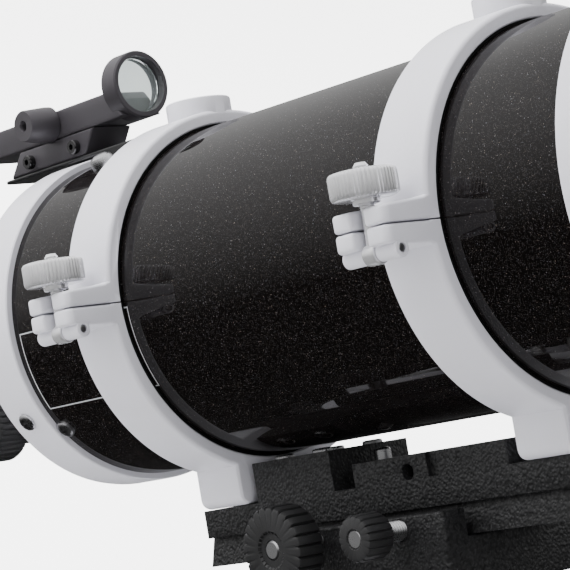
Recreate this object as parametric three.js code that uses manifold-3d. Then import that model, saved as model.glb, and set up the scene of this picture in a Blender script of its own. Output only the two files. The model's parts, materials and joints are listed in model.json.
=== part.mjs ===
// German equatorial mount head carrying a short refractor in two hinged tube rings.
// Millimetres. +Z is up, the origin is the centre of the flat underside of the azimuth base,
// and the polar axis leans from +Z towards +X by the latitude angle.
import * as THREE from 'three';
import { mergeVertices } from 'three/addons/utils/BufferGeometryUtils.js';
import Module from 'manifold-3d';

const wasm = await Module();
wasm.setup();

// ---------------------------------------------------------------- driving dimensions
const LATITUDE = THREE.MathUtils.degToRad(35);
const GAP = 0.3; // clearance between pieces that touch
const FINE = 48; // sides of the large circles
const MEDIUM = 24;
const SMALL = 12;

const TUBE = { radius: 70, wall: 1.5, rear: -157.1, front: 195.7 };
const FLANGE = { radius: 72.8, front: -157.4, edge: -181, back: -185, bore: 36.3, inner: 62, spigot: -146 };
const SHIELD = { radius: 81.4, wall: 2.2, rear: 173.8, front: 300, lip: 3 };
const CELL = { radius: 78.9, rear: 180, front: 216, seat: 58 };
const LENS = { radius: 61.5, rear: 199.6, edge: 10, bulge: 4 };
const RETAINER = { inner: 58.5, rear: 214, front: 218 };

const RING = { offset: 93.2, half: 14, outer: 77, inner: 71.2, split: 0.3 };
const EAR = { tip: -98.2, rise: 6.8, root: 8.7, slot: 3.3, slotEnd: -87.6 };
const BARREL = { y: -92, z: -9, radius: 3.3, hole: 1.8 };
const SWING = { eye: 4.1, eyeHalf: 3, shank: 2.8, top: 23.6 };
const KNOB = {
  radius: 12.5, flutes: 50, depth: 0.7, bottom: 10.7, top: 20.7, collar: 5, collarBottom: 8.6,
};
const HINGE = { y: 81, radius: 5, pin: 2, inner: 4.7, outer: 5.3 };
const FOOT = { half: 25.7, bottom: -89.1, corner: 4.5, halfHeight: 13 };
const BOSS = { radius: 14, y: -2, bottom: 66, top: 83.4, hole: 3, holeDepth: 9 };

const PLATE = { half: 22, top: -89.4, waist: -101, bottom: -113, end: 110, flare: 22.5, neck: 19 };
const RISER = { rear: -74, front: -26.5, top: -73 };
const STUD = { x: -18.5, radius: 3.5, top: -75.3, base: -99, stem: 2.5, hole: 2.8, holeBase: -101 };
const RAIL = { rear: -14, front: 71, top: -80, recessRear: 28, recessFront: 34, recess: 2.5 };
const RAIL_HOLE = { radius: 3.2, x: 17, z: -86.4 };
const RING_BOLT = { radius: 4, head: 6.5, headBottom: -111, headTop: -106, end: -79.5 };

const FOCUSER = { flange: 40, body: 36, nose: -176, tail: -255, bore: 29.9 };
const PINION_HOUSE = { halfLength: 20, halfWidth: 22, below: 12, top: -26 };
const DRAWTUBE = { radius: 29.6, inner: 25.9, front: -176, collar: 34, collarFront: -268, rear: -281 };
const ROLLER = { radius: 4, x: -220, z: -33.9, end: 56 };
const FOCUS_KNOB = { radius: 19, inner: 37, outer: 53 };
const DIAGONAL = {
  nose: 25.4, noseFront: -259, front: -281.4, rear: -336, half: 26, low: -26, high: 30,
  shoulderDrop: 14, mirrorRun: 42, holder: 20,
};
const EYEPIECE = {
  x: -308.5, barrel: 15.6, bottom: 34, shoulder: 50.4, top: 96, neck: 19, grip: 21, cup: 15, eyeHole: 12,
};
const SHOE = { rear: -226, front: -126, low: 73.2, top: 75, half: 12, footRear: -154, footBottom: 60 };
const CLAMP = { rear: -222.8, front: -165, rearTop: -213, frontTop: -156.2, half: 11 };
const FINDER_BAR = { rear: -245, front: -134, frontTop: -144, low: 86.3, top: 98.6, half: 11 };
const FINDER_HOOP = { x: -136, z: 99.6, radius: 15, inner: 12.6, half: 5 };
const FINDER_KNOB = {
  x: -187, z: 93.3, inner: -11.3, outer: -26, base: 8.2, shoulder: -14, tip: 6.8, stem: 2.5, stemEnd: -5,
};

const BASE = { radius: 58, flange: 14, hub: 44, top: 22, boltCircle: 50, boltHole: 4.3, tongue: 14 };
const POST = { near: 60, far: 72, half: 5, top: 50 };
const YOKE = {
  disc: 50, bottom: 22.4, floor: 34, cheekInner: 30, cheekOuter: 42, wallTop: 76, end: 52, wall: 10,
};
const PIVOT = { z: 140, cheek: 28, radius: 6, tip: 22, head: 12, headHeight: 7 };
const LUG = { depth: 76, radius: 9, half: 9, neck: 6 };
const PUSH_BOLT = { radius: 5, tip: 3.5, length: 64, extra: 22, gap: 0.6, head: 9, headLength: 14 };
const T_HANDLE = { radius: 5.5, half: 27, offset: 6 };
const AZIMUTH_BOLT = { z: 42, inner: 5.8, length: 44, radius: 4, head: 12, headLength: 12 };
const EARS = { inner: 17, thickness: 9, above: 8 }; // lugs of the yoke that hold the azimuth bolts

const RA = { radius: 27, bore: 16, rear: -45, front: 46, neck: 18, neckRear: -62, mouth: 12.4, trunnion: 14 };
const WORM = { half: 17, depth: 16, shaft: 3.5, knobInner: 58, knobOuter: 74, knobRadius: 12, z: -36 };
const WORM_BOX = { bottom: -46, top: -20 }; // below the polar axis
const CIRCLE = { radius: 36, inner: 18.4, thickness: 10, chamfer: 6, rim: 5 };
const DEC_X = 105; // from the latitude pivot to the declination axis, along the polar axis
const DEC = { radius: 25, bottom: -48, top: 58, bore: 13, boreBottom: -40, throat: 30 };
const DEC_WORM_X = 33;
const SHAFT = { radius: 9, collar: 14, top: -48.4, end: -218, socket: 3 };
const WEIGHT = { radius: 50, bottom: -190, top: -135, chamfer: 4 };
const WEIGHT_SCREW = { z: -162, radius: 4, head: 12, headInner: 8, headOuter: 22 };
const TUBE_HEIGHT = 215; // from the polar axis to the tube axis
const SADDLE = { length: 48, half: 38, bottom: -146, seat: -113.3, wallTop: -102.4, neck: 30 };
const SADDLE_KNOB = { z: -107.5, x: 24, screw: 4, main: 17, safety: 9, headLength: 14, reach: 24 };
const LEVER = { hub: 7, height: 9, length: 42, width: 7, stub: 2.5, hole: 2.8, polarX: 34, declinationZ: 12 };

// ---------------------------------------------------------------- colours
const WHITE = { color: 0xdcdde0, roughness: 0.45, metalness: 0.05 };
const BLACK_GLOSS = { color: 0x121014, roughness: 0.15, metalness: 0.3 };
const BLACK_CRINKLE = { color: 0x1b1b1d, roughness: 0.7, metalness: 0.2 };
const DARK_GREY = { color: 0x3c3a3e, roughness: 0.55, metalness: 0.2 };
const CHROME = { color: 0xd8dade, roughness: 0.12, metalness: 1 };
const STEEL = { color: 0xb9bbbe, roughness: 0.3, metalness: 1 };
const PLASTIC = { color: 0x202022, roughness: 0.5, metalness: 0 };
const SILVER = { color: 0xc4c6c9, roughness: 0.35, metalness: 0.9 };
const GLASS = { color: 0x9fc8c4, roughness: 0.05, metalness: 0 };

// ---------------------------------------------------------------- solid helpers

// Closed triangle mesh to a manifold solid, with its faces pointing out.
function toSolid(geometry) {
  const plain = geometry.index ? geometry.toNonIndexed() : geometry.clone();
  plain.deleteAttribute('normal');
  plain.deleteAttribute('uv');
  const merged = mergeVertices(plain, 1e-4);
  const position = merged.attributes.position;
  const index = merged.index.array;
  const kept = [];
  const [a, b, c] = [new THREE.Vector3(), new THREE.Vector3(), new THREE.Vector3()];
  let volume = 0;
  for (let i = 0; i < index.length; i += 3) {
    const [p, q, r] = [index[i], index[i + 1], index[i + 2]];
    if (p === q || q === r || r === p) continue;
    kept.push(p, q, r);
    a.fromBufferAttribute(position, p);
    b.fromBufferAttribute(position, q);
    c.fromBufferAttribute(position, r);
    volume += a.dot(b.cross(c));
  }
  if (volume < 0) kept.reverse();
  return new wasm.Manifold(new wasm.Mesh({
    numProp: 3,
    vertProperties: Float32Array.from(position.array),
    triVerts: Uint32Array.from(kept),
  }));
}

function toGeometry(solid) {
  const mesh = solid.getMesh();
  const geometry = new THREE.BufferGeometry();
  geometry.setAttribute('position', new THREE.BufferAttribute(Float32Array.from(mesh.vertProperties), 3));
  geometry.setIndex(new THREE.BufferAttribute(Uint32Array.from(mesh.triVerts), 1));
  geometry.computeVertexNormals();
  return geometry;
}

function join(...solids) {
  return solids.reduce((whole, next) => whole.add(next));
}

function cut(solid, ...tools) {
  return tools.reduce((whole, tool) => whole.subtract(tool), solid);
}

// Box between two limits on each axis.
function block([x0, x1], [y0, y1], [z0, z1]) {
  const geometry = new THREE.BoxGeometry(x1 - x0, y1 - y0, z1 - z0);
  geometry.translate((x0 + x1) / 2, (y0 + y1) / 2, (z0 + z1) / 2);
  return toSolid(geometry);
}

const LATHE_TURN = {
  x: new THREE.Matrix4().makeRotationZ(-Math.PI / 2),
  y: new THREE.Matrix4(),
  z: new THREE.Matrix4().makeRotationX(Math.PI / 2),
};

// Solid of revolution about a line along x, y or z; the profile lists [radius, height].
function turned(axis, profile, centre = [0, 0, 0], sides = SMALL) {
  const points = profile.map(([radius, height]) => new THREE.Vector2(radius, height));
  const geometry = new THREE.LatheGeometry(points, sides);
  geometry.applyMatrix4(LATHE_TURN[axis]);
  geometry.translate(...centre);
  return toSolid(geometry);
}

function rod(axis, radius, low, high, centre, sides) {
  return turned(axis, [[0, low], [radius, low], [radius, high], [0, high]], centre, sides);
}

// Rod with a small chamfer at both ends.
function bevelledRod(axis, radius, low, high, chamfer, centre, sides) {
  const profile = [
    [0, low], [radius - chamfer, low], [radius, low + chamfer],
    [radius, high - chamfer], [radius - chamfer, high], [0, high],
  ];
  return turned(axis, profile, centre, sides);
}

function hollow(axis, outer, inner, low, high, centre, sides) {
  const profile = [[inner, low], [outer, low], [outer, high], [inner, high], [inner, low]];
  return turned(axis, profile, centre, sides);
}

const PRISM_TURN = {
  x: new THREE.Matrix4().makeBasis(
    new THREE.Vector3(0, 1, 0), new THREE.Vector3(0, 0, 1), new THREE.Vector3(1, 0, 0)),
  y: new THREE.Matrix4().makeBasis(
    new THREE.Vector3(1, 0, 0), new THREE.Vector3(0, 0, 1), new THREE.Vector3(0, -1, 0)),
  z: new THREE.Matrix4(),
};

// Outline pushed along an axis. It lists [y, z] for x, [x, z] for y and [x, y] for z.
function prism(axis, outline, low, high) {
  const shape = outline instanceof THREE.Shape
    ? outline
    : new THREE.Shape(outline.map(([u, v]) => new THREE.Vector2(u, v)));
  const geometry = new THREE.ExtrudeGeometry(shape, {
    depth: high - low, bevelEnabled: false, curveSegments: 3,
  });
  geometry.translate(0, 0, axis === 'y' ? -high : low);
  geometry.applyMatrix4(PRISM_TURN[axis]);
  return toSolid(geometry);
}

// Rectangle with rounded corners, as a shape about [u, v].
function roundedRectangle(u, v, halfU, halfV, radius) {
  const shape = new THREE.Shape();
  const corners = [[1, -1, -90], [1, 1, 0], [-1, 1, 90], [-1, -1, 180]];
  for (const [signU, signV, start] of corners) {
    const from = THREE.MathUtils.degToRad(start);
    const centreU = u + signU * (halfU - radius);
    const centreV = v + signV * (halfV - radius);
    shape.absarc(centreU, centreV, radius, from, from + Math.PI / 2);
  }
  shape.closePath();
  return shape;
}

// Round outline with evenly spaced grooves.
function flutedOutline(radius, depth, count, perFlute) {
  const points = [];
  const total = count * perFlute;
  for (let i = 0; i < total; i += 1) {
    const angle = (i / total) * Math.PI * 2;
    const reach = i % perFlute === 0 ? radius - depth : radius;
    points.push([reach * Math.cos(angle), reach * Math.sin(angle)]);
  }
  return points;
}

// ---------------------------------------------------------------- scene tree
const mount = new THREE.Group();
// Frame of the latitude pivot: x along the polar axis, z towards the tube.
const polar = new THREE.Group();
polar.position.set(0, 0, PIVOT.z);
polar.rotation.y = -LATITUDE;
mount.add(polar);
// Frame of the declination axis.
const declination = new THREE.Group();
declination.position.set(DEC_X, 0, 0);
polar.add(declination);
// Frame of the tube: x towards the sky, origin on the tube axis midway between the rings.
const optics = new THREE.Group();
optics.position.set(DEC_X, 0, TUBE_HEIGHT);
polar.add(optics);

function place(group, name, solid, finish) {
  const mesh = new THREE.Mesh(toGeometry(solid), new THREE.MeshStandardMaterial(finish));
  mesh.name = name;
  group.add(mesh);
  return mesh;
}

// ---------------------------------------------------------------- azimuth base and yoke
function azimuthBase() {
  const flange = bevelledRod('z', BASE.radius, 0, BASE.flange, 2, [0, 0, 0], MEDIUM);
  const hub = rod('z', BASE.hub, BASE.flange - 1, BASE.top, [0, 0, 0], MEDIUM);
  const tongue = block([BASE.hub - 4, POST.far], [-BASE.tongue, BASE.tongue], [0, BASE.flange]);
  const post = block([POST.near, POST.far], [-POST.half, POST.half], [BASE.flange - 1, POST.top]);
  const holes = [90, 180, 270].map((degrees) => {
    const angle = THREE.MathUtils.degToRad(degrees);
    const centre = [BASE.boltCircle * Math.cos(angle), BASE.boltCircle * Math.sin(angle), 0];
    return rod('z', BASE.boltHole, -1, BASE.flange + 1, centre);
  });
  place(mount, 'azimuth_base', cut(join(flange, hub, tongue, post), ...holes), WHITE);
}

function yokeCheek(side) {
  const outline = new THREE.Shape();
  outline.moveTo(-YOKE.end, YOKE.floor - 1);
  outline.lineTo(YOKE.end, YOKE.floor - 1);
  outline.lineTo(YOKE.end, YOKE.wallTop);
  outline.absarc(0, PIVOT.z, PIVOT.cheek, -0.1, Math.PI + 0.1, false);
  outline.lineTo(-YOKE.end, YOKE.wallTop);
  outline.closePath();
  const [low, high] = [side * YOKE.cheekInner, side * YOKE.cheekOuter].sort((a, b) => a - b);
  return prism('y', outline, low, high);
}

function yoke() {
  const disc = bevelledRod('z', YOKE.disc, YOKE.bottom, YOKE.floor, 1.5, [0, 0, 0], MEDIUM);
  const foot = block(
    [-YOKE.end, YOKE.end], [-YOKE.cheekOuter, YOKE.cheekOuter], [YOKE.floor - 5, YOKE.floor]);
  const walls = [-1, 1].map((side) => {
    const [low, high] = [side * (YOKE.end - YOKE.wall), side * YOKE.end].sort((a, b) => a - b);
    const span = [-YOKE.cheekInner - 1, YOKE.cheekInner + 1];
    return block([low, high], span, [YOKE.floor - 1, YOKE.wallTop]);
  });
  const earOuter = EARS.inner + EARS.thickness;
  const ears = [-1, 1].map((side) => {
    const [low, high] = [side * EARS.inner, side * earOuter].sort((a, b) => a - b);
    return block([YOKE.end - 1, POST.far], [low, high], [YOKE.floor - 2, AZIMUTH_BOLT.z + EARS.above]);
  });
  const latitudeHole = rod('x', PUSH_BOLT.radius + GAP, -YOKE.end - 1, YOKE.end + 1,
    [0, 0, PIVOT.z - LUG.depth]);
  const azimuthHole = rod('y', AZIMUTH_BOLT.radius + GAP, -earOuter - 1, earOuter + 1,
    [(POST.near + POST.far) / 2, 0, AZIMUTH_BOLT.z]);
  const pivotHole = rod('y', PIVOT.radius + GAP, -YOKE.cheekOuter - 1, YOKE.cheekOuter + 1, [0, 0, PIVOT.z]);
  const body = join(disc, foot, yokeCheek(-1), yokeCheek(1), ...walls, ...ears);
  place(mount, 'yoke', cut(body, latitudeHole, azimuthHole, pivotHole), WHITE);
}

function pivotBolts() {
  for (const [name, side] of [['latitude_pivot_left', 1], ['latitude_pivot_right', -1]]) {
    const seat = side * (YOKE.cheekOuter + GAP);
    const end = side * (YOKE.cheekOuter + PIVOT.headHeight);
    const shank = turned('y', [
      [0, side * PIVOT.tip], [PIVOT.radius, side * PIVOT.tip], [PIVOT.radius, seat],
      [PIVOT.head, seat], [PIVOT.head, end - side * 2], [PIVOT.head - 2, end], [0, end],
    ], [0, 0, PIVOT.z]);
    place(mount, name, shank, STEEL);
  }
}

// Screw with a T handle that pushes the latitude lug.
function latitudeBolts() {
  const z = PIVOT.z - LUG.depth;
  for (const [name, side] of [['latitude_bolt_front', 1], ['latitude_bolt_rear', -1]]) {
    const tip = LUG.radius + PUSH_BOLT.gap;
    const end = tip + PUSH_BOLT.length + (side > 0 ? PUSH_BOLT.extra : 0);
    const back = end + PUSH_BOLT.headLength;
    const screw = turned('x', [
      [0, side * tip], [PUSH_BOLT.tip, side * tip], [PUSH_BOLT.radius, side * (tip + 2)],
      [PUSH_BOLT.radius, side * end], [PUSH_BOLT.head, side * end], [PUSH_BOLT.head, side * (back - 2)],
      [PUSH_BOLT.head - 2, side * back], [0, side * back],
    ], [0, 0, z]);
    const handle = bevelledRod('y', T_HANDLE.radius, -T_HANDLE.half, T_HANDLE.half, 2,
      [side * (end + T_HANDLE.offset), 0, z]);
    place(mount, name, join(screw, handle), PLASTIC);
  }
}

function azimuthBolts() {
  const centre = [(POST.near + POST.far) / 2, 0, AZIMUTH_BOLT.z];
  const { inner, length, radius, head, headLength } = AZIMUTH_BOLT;
  const seat = inner + length;
  const end = seat + headLength;
  for (const [name, side] of [['azimuth_knob_left', 1], ['azimuth_knob_right', -1]]) {
    const screw = turned('y', [
      [0, side * inner], [radius, side * inner], [radius, side * seat], [head, side * seat],
      [head, side * (end - 2)], [head - 2, side * end], [0, side * end],
    ], centre);
    place(mount, name, screw, PLASTIC);
  }
}

// ---------------------------------------------------------------- polar axis
function raHousing() {
  const body = rod('x', RA.radius, RA.rear, RA.front, [0, 0, 0], MEDIUM);
  const neck = rod('x', RA.neck, RA.neckRear, RA.rear + 1, [0, 0, 0], MEDIUM);
  const shoulder = YOKE.cheekInner - 0.5;
  const trunnions = rod('y', RA.trunnion, -shoulder, shoulder, [0, 0, 0], SMALL);
  const worm = block([RA.front - WORM.depth, RA.front], [-WORM.half, WORM.half],
    [WORM_BOX.bottom, WORM_BOX.top]);
  const leverBoss = rod('z', LEVER.hub, 20, RA.radius + 2, [LEVER.polarX, 0, 0]);
  // The lug hangs straight down at rest, so it is turned back by the latitude.
  const down = new THREE.Matrix4().makeRotationY(LATITUDE);
  const lugGeometry = (solid) => toSolid(toGeometry(solid).applyMatrix4(down));
  const lug = lugGeometry(join(
    block([-LUG.neck, LUG.neck], [-LUG.half, LUG.half], [-LUG.depth, -20]),
    rod('y', LUG.radius, -LUG.half, LUG.half, [0, 0, -LUG.depth]),
  ));
  const bore = rod('x', RA.bore, RA.neckRear + 14, RA.front + 1, [0, 0, 0], MEDIUM);
  const mouth = rod('x', RA.mouth, RA.neckRear - 1, RA.neckRear + 15, [0, 0, 0], MEDIUM);
  const wormHole = rod('y', WORM.shaft + GAP, -WORM.half - 1, WORM.half + 1,
    [RA.front - WORM.depth / 2, 0, WORM.z]);
  const pinEnd = PIVOT.tip - 0.6;
  const pins = [-1, 1].map((side) => turned('y', [
    [0, side * pinEnd], [PIVOT.radius + GAP, side * pinEnd],
    [PIVOT.radius + GAP, side * (YOKE.cheekInner + 1)], [0, side * (YOKE.cheekInner + 1)],
  ]));
  const leverHole = rod('z', LEVER.hole, 19, RA.radius + 3, [LEVER.polarX, 0, 0]);
  const whole = join(body, neck, trunnions, worm, leverBoss, lug);
  place(polar, 'ra_housing', cut(whole, bore, mouth, wormHole, leverHole, ...pins), WHITE);
}

function polarCap() {
  const cap = turned('x', [
    [0, RA.neckRear - 8], [RA.neck - 2, RA.neckRear - 8], [RA.neck, RA.neckRear - 6],
    [RA.neck, RA.neckRear - GAP], [RA.mouth - 0.4, RA.neckRear - GAP],
    [RA.mouth - 0.4, RA.neckRear + 9], [0, RA.neckRear + 9],
  ], [0, 0, 0], MEDIUM);
  place(polar, 'polar_cap', cap, PLASTIC);
}

function settingCircle(group, name, axis, low) {
  const high = low + CIRCLE.thickness;
  const ring = turned(axis, [
    [CIRCLE.inner, low], [CIRCLE.radius, low], [CIRCLE.radius, high - CIRCLE.rim],
    [CIRCLE.radius - CIRCLE.chamfer, high], [CIRCLE.inner, high], [CIRCLE.inner, low],
  ], [0, 0, 0], MEDIUM);
  place(group, name, ring, SILVER);
}

function slowMotion(group, name, x, z) {
  const profile = [
    [0, -WORM.knobOuter], [WORM.knobRadius - 1.5, -WORM.knobOuter],
    [WORM.knobRadius, -WORM.knobOuter + 1.5], [WORM.knobRadius, -WORM.knobInner],
    [WORM.shaft, -WORM.knobInner], [WORM.shaft, WORM.half + 4], [0, WORM.half + 4],
  ];
  place(group, name, turned('y', profile, [x, 0, z]), PLASTIC);
}

// Lock lever: a round hub on a stub with an arm on top. It is drawn on +z, then turned.
function lockLever(group, name, position, rotation) {
  const stub = rod('z', LEVER.stub, -8, 1, [0, 0, 0]);
  const hub = bevelledRod('z', LEVER.hub, 0, LEVER.height, 1, [0, 0, 0]);
  const armOutline = roundedRectangle(-LEVER.length / 2, 0, LEVER.length / 2, LEVER.width / 2, 3);
  const arm = prism('z', armOutline, LEVER.height - 5, LEVER.height - 1);
  const mesh = place(group, name, join(stub, hub, arm), CHROME);
  mesh.position.set(...position);
  mesh.rotation.set(...rotation);
}

function raShaft() {
  const start = RA.neckRear + 16;
  const shaft = turned('x', [
    [0, start + 30], [SHAFT.radius, start + 30], [SHAFT.radius, start], [RA.bore - GAP, start],
    [RA.bore - GAP, RA.front + 12], [0, RA.front + 12],
  ], [0, 0, 0], MEDIUM);
  place(polar, 'ra_shaft', shaft, STEEL);
}

// ---------------------------------------------------------------- declination axis
function decHousing() {
  const front = RA.front + 12 + GAP - DEC_X;
  const barrel = bevelledRod('z', DEC.radius, DEC.bottom, DEC.top, 2, [0, 0, 0], MEDIUM);
  const throat = turned('x', [
    [0, front], [DEC.throat, front], [DEC.throat, front + 8], [DEC.radius - 1, front + 22],
    [DEC.radius - 1, 0], [0, 0],
  ], [0, 0, 0], MEDIUM);
  const worm = block([20, 42], [-WORM.half, WORM.half], [DEC.top - WORM.depth - 2, DEC.top - 2]);
  const leverBoss = rod('y', LEVER.hub, 15, DEC.radius + 2, [0, 0, LEVER.declinationZ]);
  const bore = rod('z', DEC.bore, DEC.boreBottom, DEC.top + 1, [0, 0, 0], MEDIUM);
  const wormHole = rod('y', WORM.shaft + GAP, -WORM.half - 1, WORM.half + 1,
    [DEC_WORM_X, 0, DEC.top - WORM.depth / 2 - 2]);
  const leverHole = rod('y', LEVER.hole, 18, DEC.radius + 3, [0, 0, LEVER.declinationZ]);
  const whole = join(barrel, throat, worm, leverBoss);
  place(declination, 'dec_housing', cut(whole, bore, wormHole, leverHole), WHITE);
}

function counterweightSet() {
  const shaft = turned('z', [
    [0, SHAFT.end + 6], [SHAFT.socket, SHAFT.end + 6], [SHAFT.socket, SHAFT.end + GAP],
    [SHAFT.radius, SHAFT.end + GAP],
    [SHAFT.radius, SHAFT.top - 12], [SHAFT.collar, SHAFT.top - 10], [SHAFT.collar, SHAFT.top],
    [0, SHAFT.top],
  ], [0, 0, 0], MEDIUM);
  place(declination, 'counterweight_shaft', shaft, STEEL);
  const stop = turned('z', [
    [0, SHAFT.end - 6], [SHAFT.collar - 1, SHAFT.end - 6], [SHAFT.collar, SHAFT.end - 5],
    [SHAFT.collar, SHAFT.end], [SHAFT.socket - 0.4, SHAFT.end], [SHAFT.socket - 0.4, SHAFT.end + 5.5],
    [0, SHAFT.end + 5.5],
  ], [0, 0, 0], SMALL);
  place(declination, 'counterweight_stop', stop, PLASTIC);
  const { radius, bottom, top, chamfer } = WEIGHT;
  const weight = turned('z', [
    [SHAFT.radius + GAP, bottom], [radius - chamfer, bottom], [radius, bottom + chamfer],
    [radius, top - chamfer], [radius - chamfer, top], [SHAFT.radius + GAP, top],
    [SHAFT.radius + GAP, bottom],
  ], [0, 0, 0], FINE);
  const screwCentre = [0, 0, WEIGHT_SCREW.z];
  const hole = rod('y', WEIGHT_SCREW.radius + GAP, -radius - 1, -SHAFT.radius, screwCentre);
  place(declination, 'counterweight', cut(weight, hole), WHITE);
  const { radius: thread, head, headInner, headOuter } = WEIGHT_SCREW;
  const tip = -SHAFT.radius - GAP - 0.2;
  const screw = turned('y', [
    [0, -radius - headOuter], [head - 2, -radius - headOuter], [head, -radius - headOuter + 2],
    [head, -radius - headInner], [thread, -radius - headInner], [thread, tip], [0, tip],
  ], screwCentre);
  place(declination, 'counterweight_screw', screw, PLASTIC);
}

// ---------------------------------------------------------------- saddle
function saddleSet() {
  const low = SADDLE.bottom;
  const bore = DEC.bore - GAP;
  const shaftTop = low + 8;
  const shaft = rod('z', bore, DEC.boreBottom + 1 - TUBE_HEIGHT, shaftTop - GAP, [0, 0, 0], MEDIUM);
  place(optics, 'dec_shaft', shaft, STEEL);

  const floor = block([-SADDLE.length, SADDLE.length], [-SADDLE.half, SADDLE.half],
    [low + 12, SADDLE.seat]);
  const neck = bevelledRod('z', SADDLE.neck, low, low + 14, 2, [0, 0, 0], MEDIUM);
  const nearWall = block([-SADDLE.length, SADDLE.length], [-SADDLE.half, -PLATE.flare - 3],
    [SADDLE.seat - 1, SADDLE.wallTop]);
  const jaw = prism('x', [
    [PLATE.flare + 0.5, SADDLE.seat - 1], [SADDLE.half, SADDLE.seat - 1], [SADDLE.half, SADDLE.wallTop],
    [PLATE.neck + 1, SADDLE.wallTop], [PLATE.flare + 0.5, SADDLE.seat],
  ], -SADDLE.length, SADDLE.length);
  const pocket = rod('z', bore + GAP, low - 1, shaftTop, [0, 0, 0], MEDIUM);
  const holes = [-1, 1].map((side) => rod('y', SADDLE_KNOB.screw + GAP, -SADDLE.half - 1,
    -PLATE.flare - 2, [side * SADDLE_KNOB.x, 0, SADDLE_KNOB.z]));
  place(optics, 'saddle', cut(join(floor, neck, nearWall, jaw), pocket, ...holes), BLACK_CRINKLE);

  const knobs = [
    ['saddle_clamp_knob', -SADDLE_KNOB.x, SADDLE_KNOB.main],
    ['saddle_safety_knob', SADDLE_KNOB.x, SADDLE_KNOB.safety],
  ];
  const outer = -SADDLE.half - SADDLE_KNOB.reach;
  const inner = outer + SADDLE_KNOB.headLength;
  for (const [name, x, radius] of knobs) {
    const profile = [
      [0, outer], [radius - 1.5, outer], [radius, outer + 1.5], [radius, inner - 2],
      [radius - 3, inner], [SADDLE_KNOB.screw, inner],
      [SADDLE_KNOB.screw, -PLATE.flare - 0.4], [0, -PLATE.flare - 0.4],
    ];
    place(optics, name, turned('y', profile, [x, 0, SADDLE_KNOB.z]), PLASTIC);
  }
}

// ---------------------------------------------------------------- dovetail plate
function dovetailPlate() {
  const { half, top, waist, bottom, end, flare, neck } = PLATE;
  const section = [
    [-flare, bottom], [flare, bottom], [neck, waist], [half, waist], [half, top],
    [-half, top], [-half, waist], [-neck, waist],
  ];
  const bar = prism('x', section, -end, end);
  const riser = block([RISER.rear, RISER.front], [-half, half], [top - 1, RISER.top]);
  const rail = block([RAIL.rear, RAIL.front], [-half, half], [top - 1, RAIL.top]);
  const recess = [-1, 1].map((side) => {
    const [low, high] = [side * (half - RAIL.recess), side * (half + 1)].sort((a, b) => a - b);
    return block([RAIL.recessRear, RAIL.recessFront], [low, high], [top, RAIL.top + 1]);
  });
  const railHole = rod('y', RAIL_HOLE.radius, -half - 1, half + 1, [RAIL_HOLE.x, 0, RAIL_HOLE.z]);
  const studHole = rod('z', STUD.hole, STUD.holeBase, top + 1, [STUD.x, 0, 0]);
  const boltHoles = [-1, 1].flatMap((side) => [
    rod('z', RING_BOLT.radius + GAP, bottom - 1, top + 1, [side * RING.offset, 0, 0]),
    rod('z', RING_BOLT.head + GAP, bottom - 1, RING_BOLT.headTop + GAP, [side * RING.offset, 0, 0]),
  ]);
  const body = cut(join(bar, riser, rail), ...recess, railHole, studHole, ...boltHoles);
  place(optics, 'dovetail_plate', body, BLACK_CRINKLE);

  const stud = turned('z', [
    [0, STUD.base], [STUD.stem, STUD.base], [STUD.stem, top + GAP], [STUD.radius, top + GAP],
    [STUD.radius, STUD.top - 1], [STUD.radius - 1, STUD.top], [0, STUD.top],
  ], [STUD.x, 0, 0]);
  place(optics, 'stop_stud', stud, STEEL);
}

// ---------------------------------------------------------------- tube rings
function earOutline(sign) {
  const edge = sign * RING.split;
  return [
    [-68, edge], [EAR.tip, edge], [EAR.tip, sign * (EAR.rise - 1)], [EAR.tip + 1, sign * EAR.rise],
    [-76, sign * EAR.root], [-68, sign * (EAR.root + 4)],
  ];
}

function hingeKnuckle(low, high) {
  return rod('x', HINGE.radius, low, high, [0, HINGE.y, 0]);
}

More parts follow.
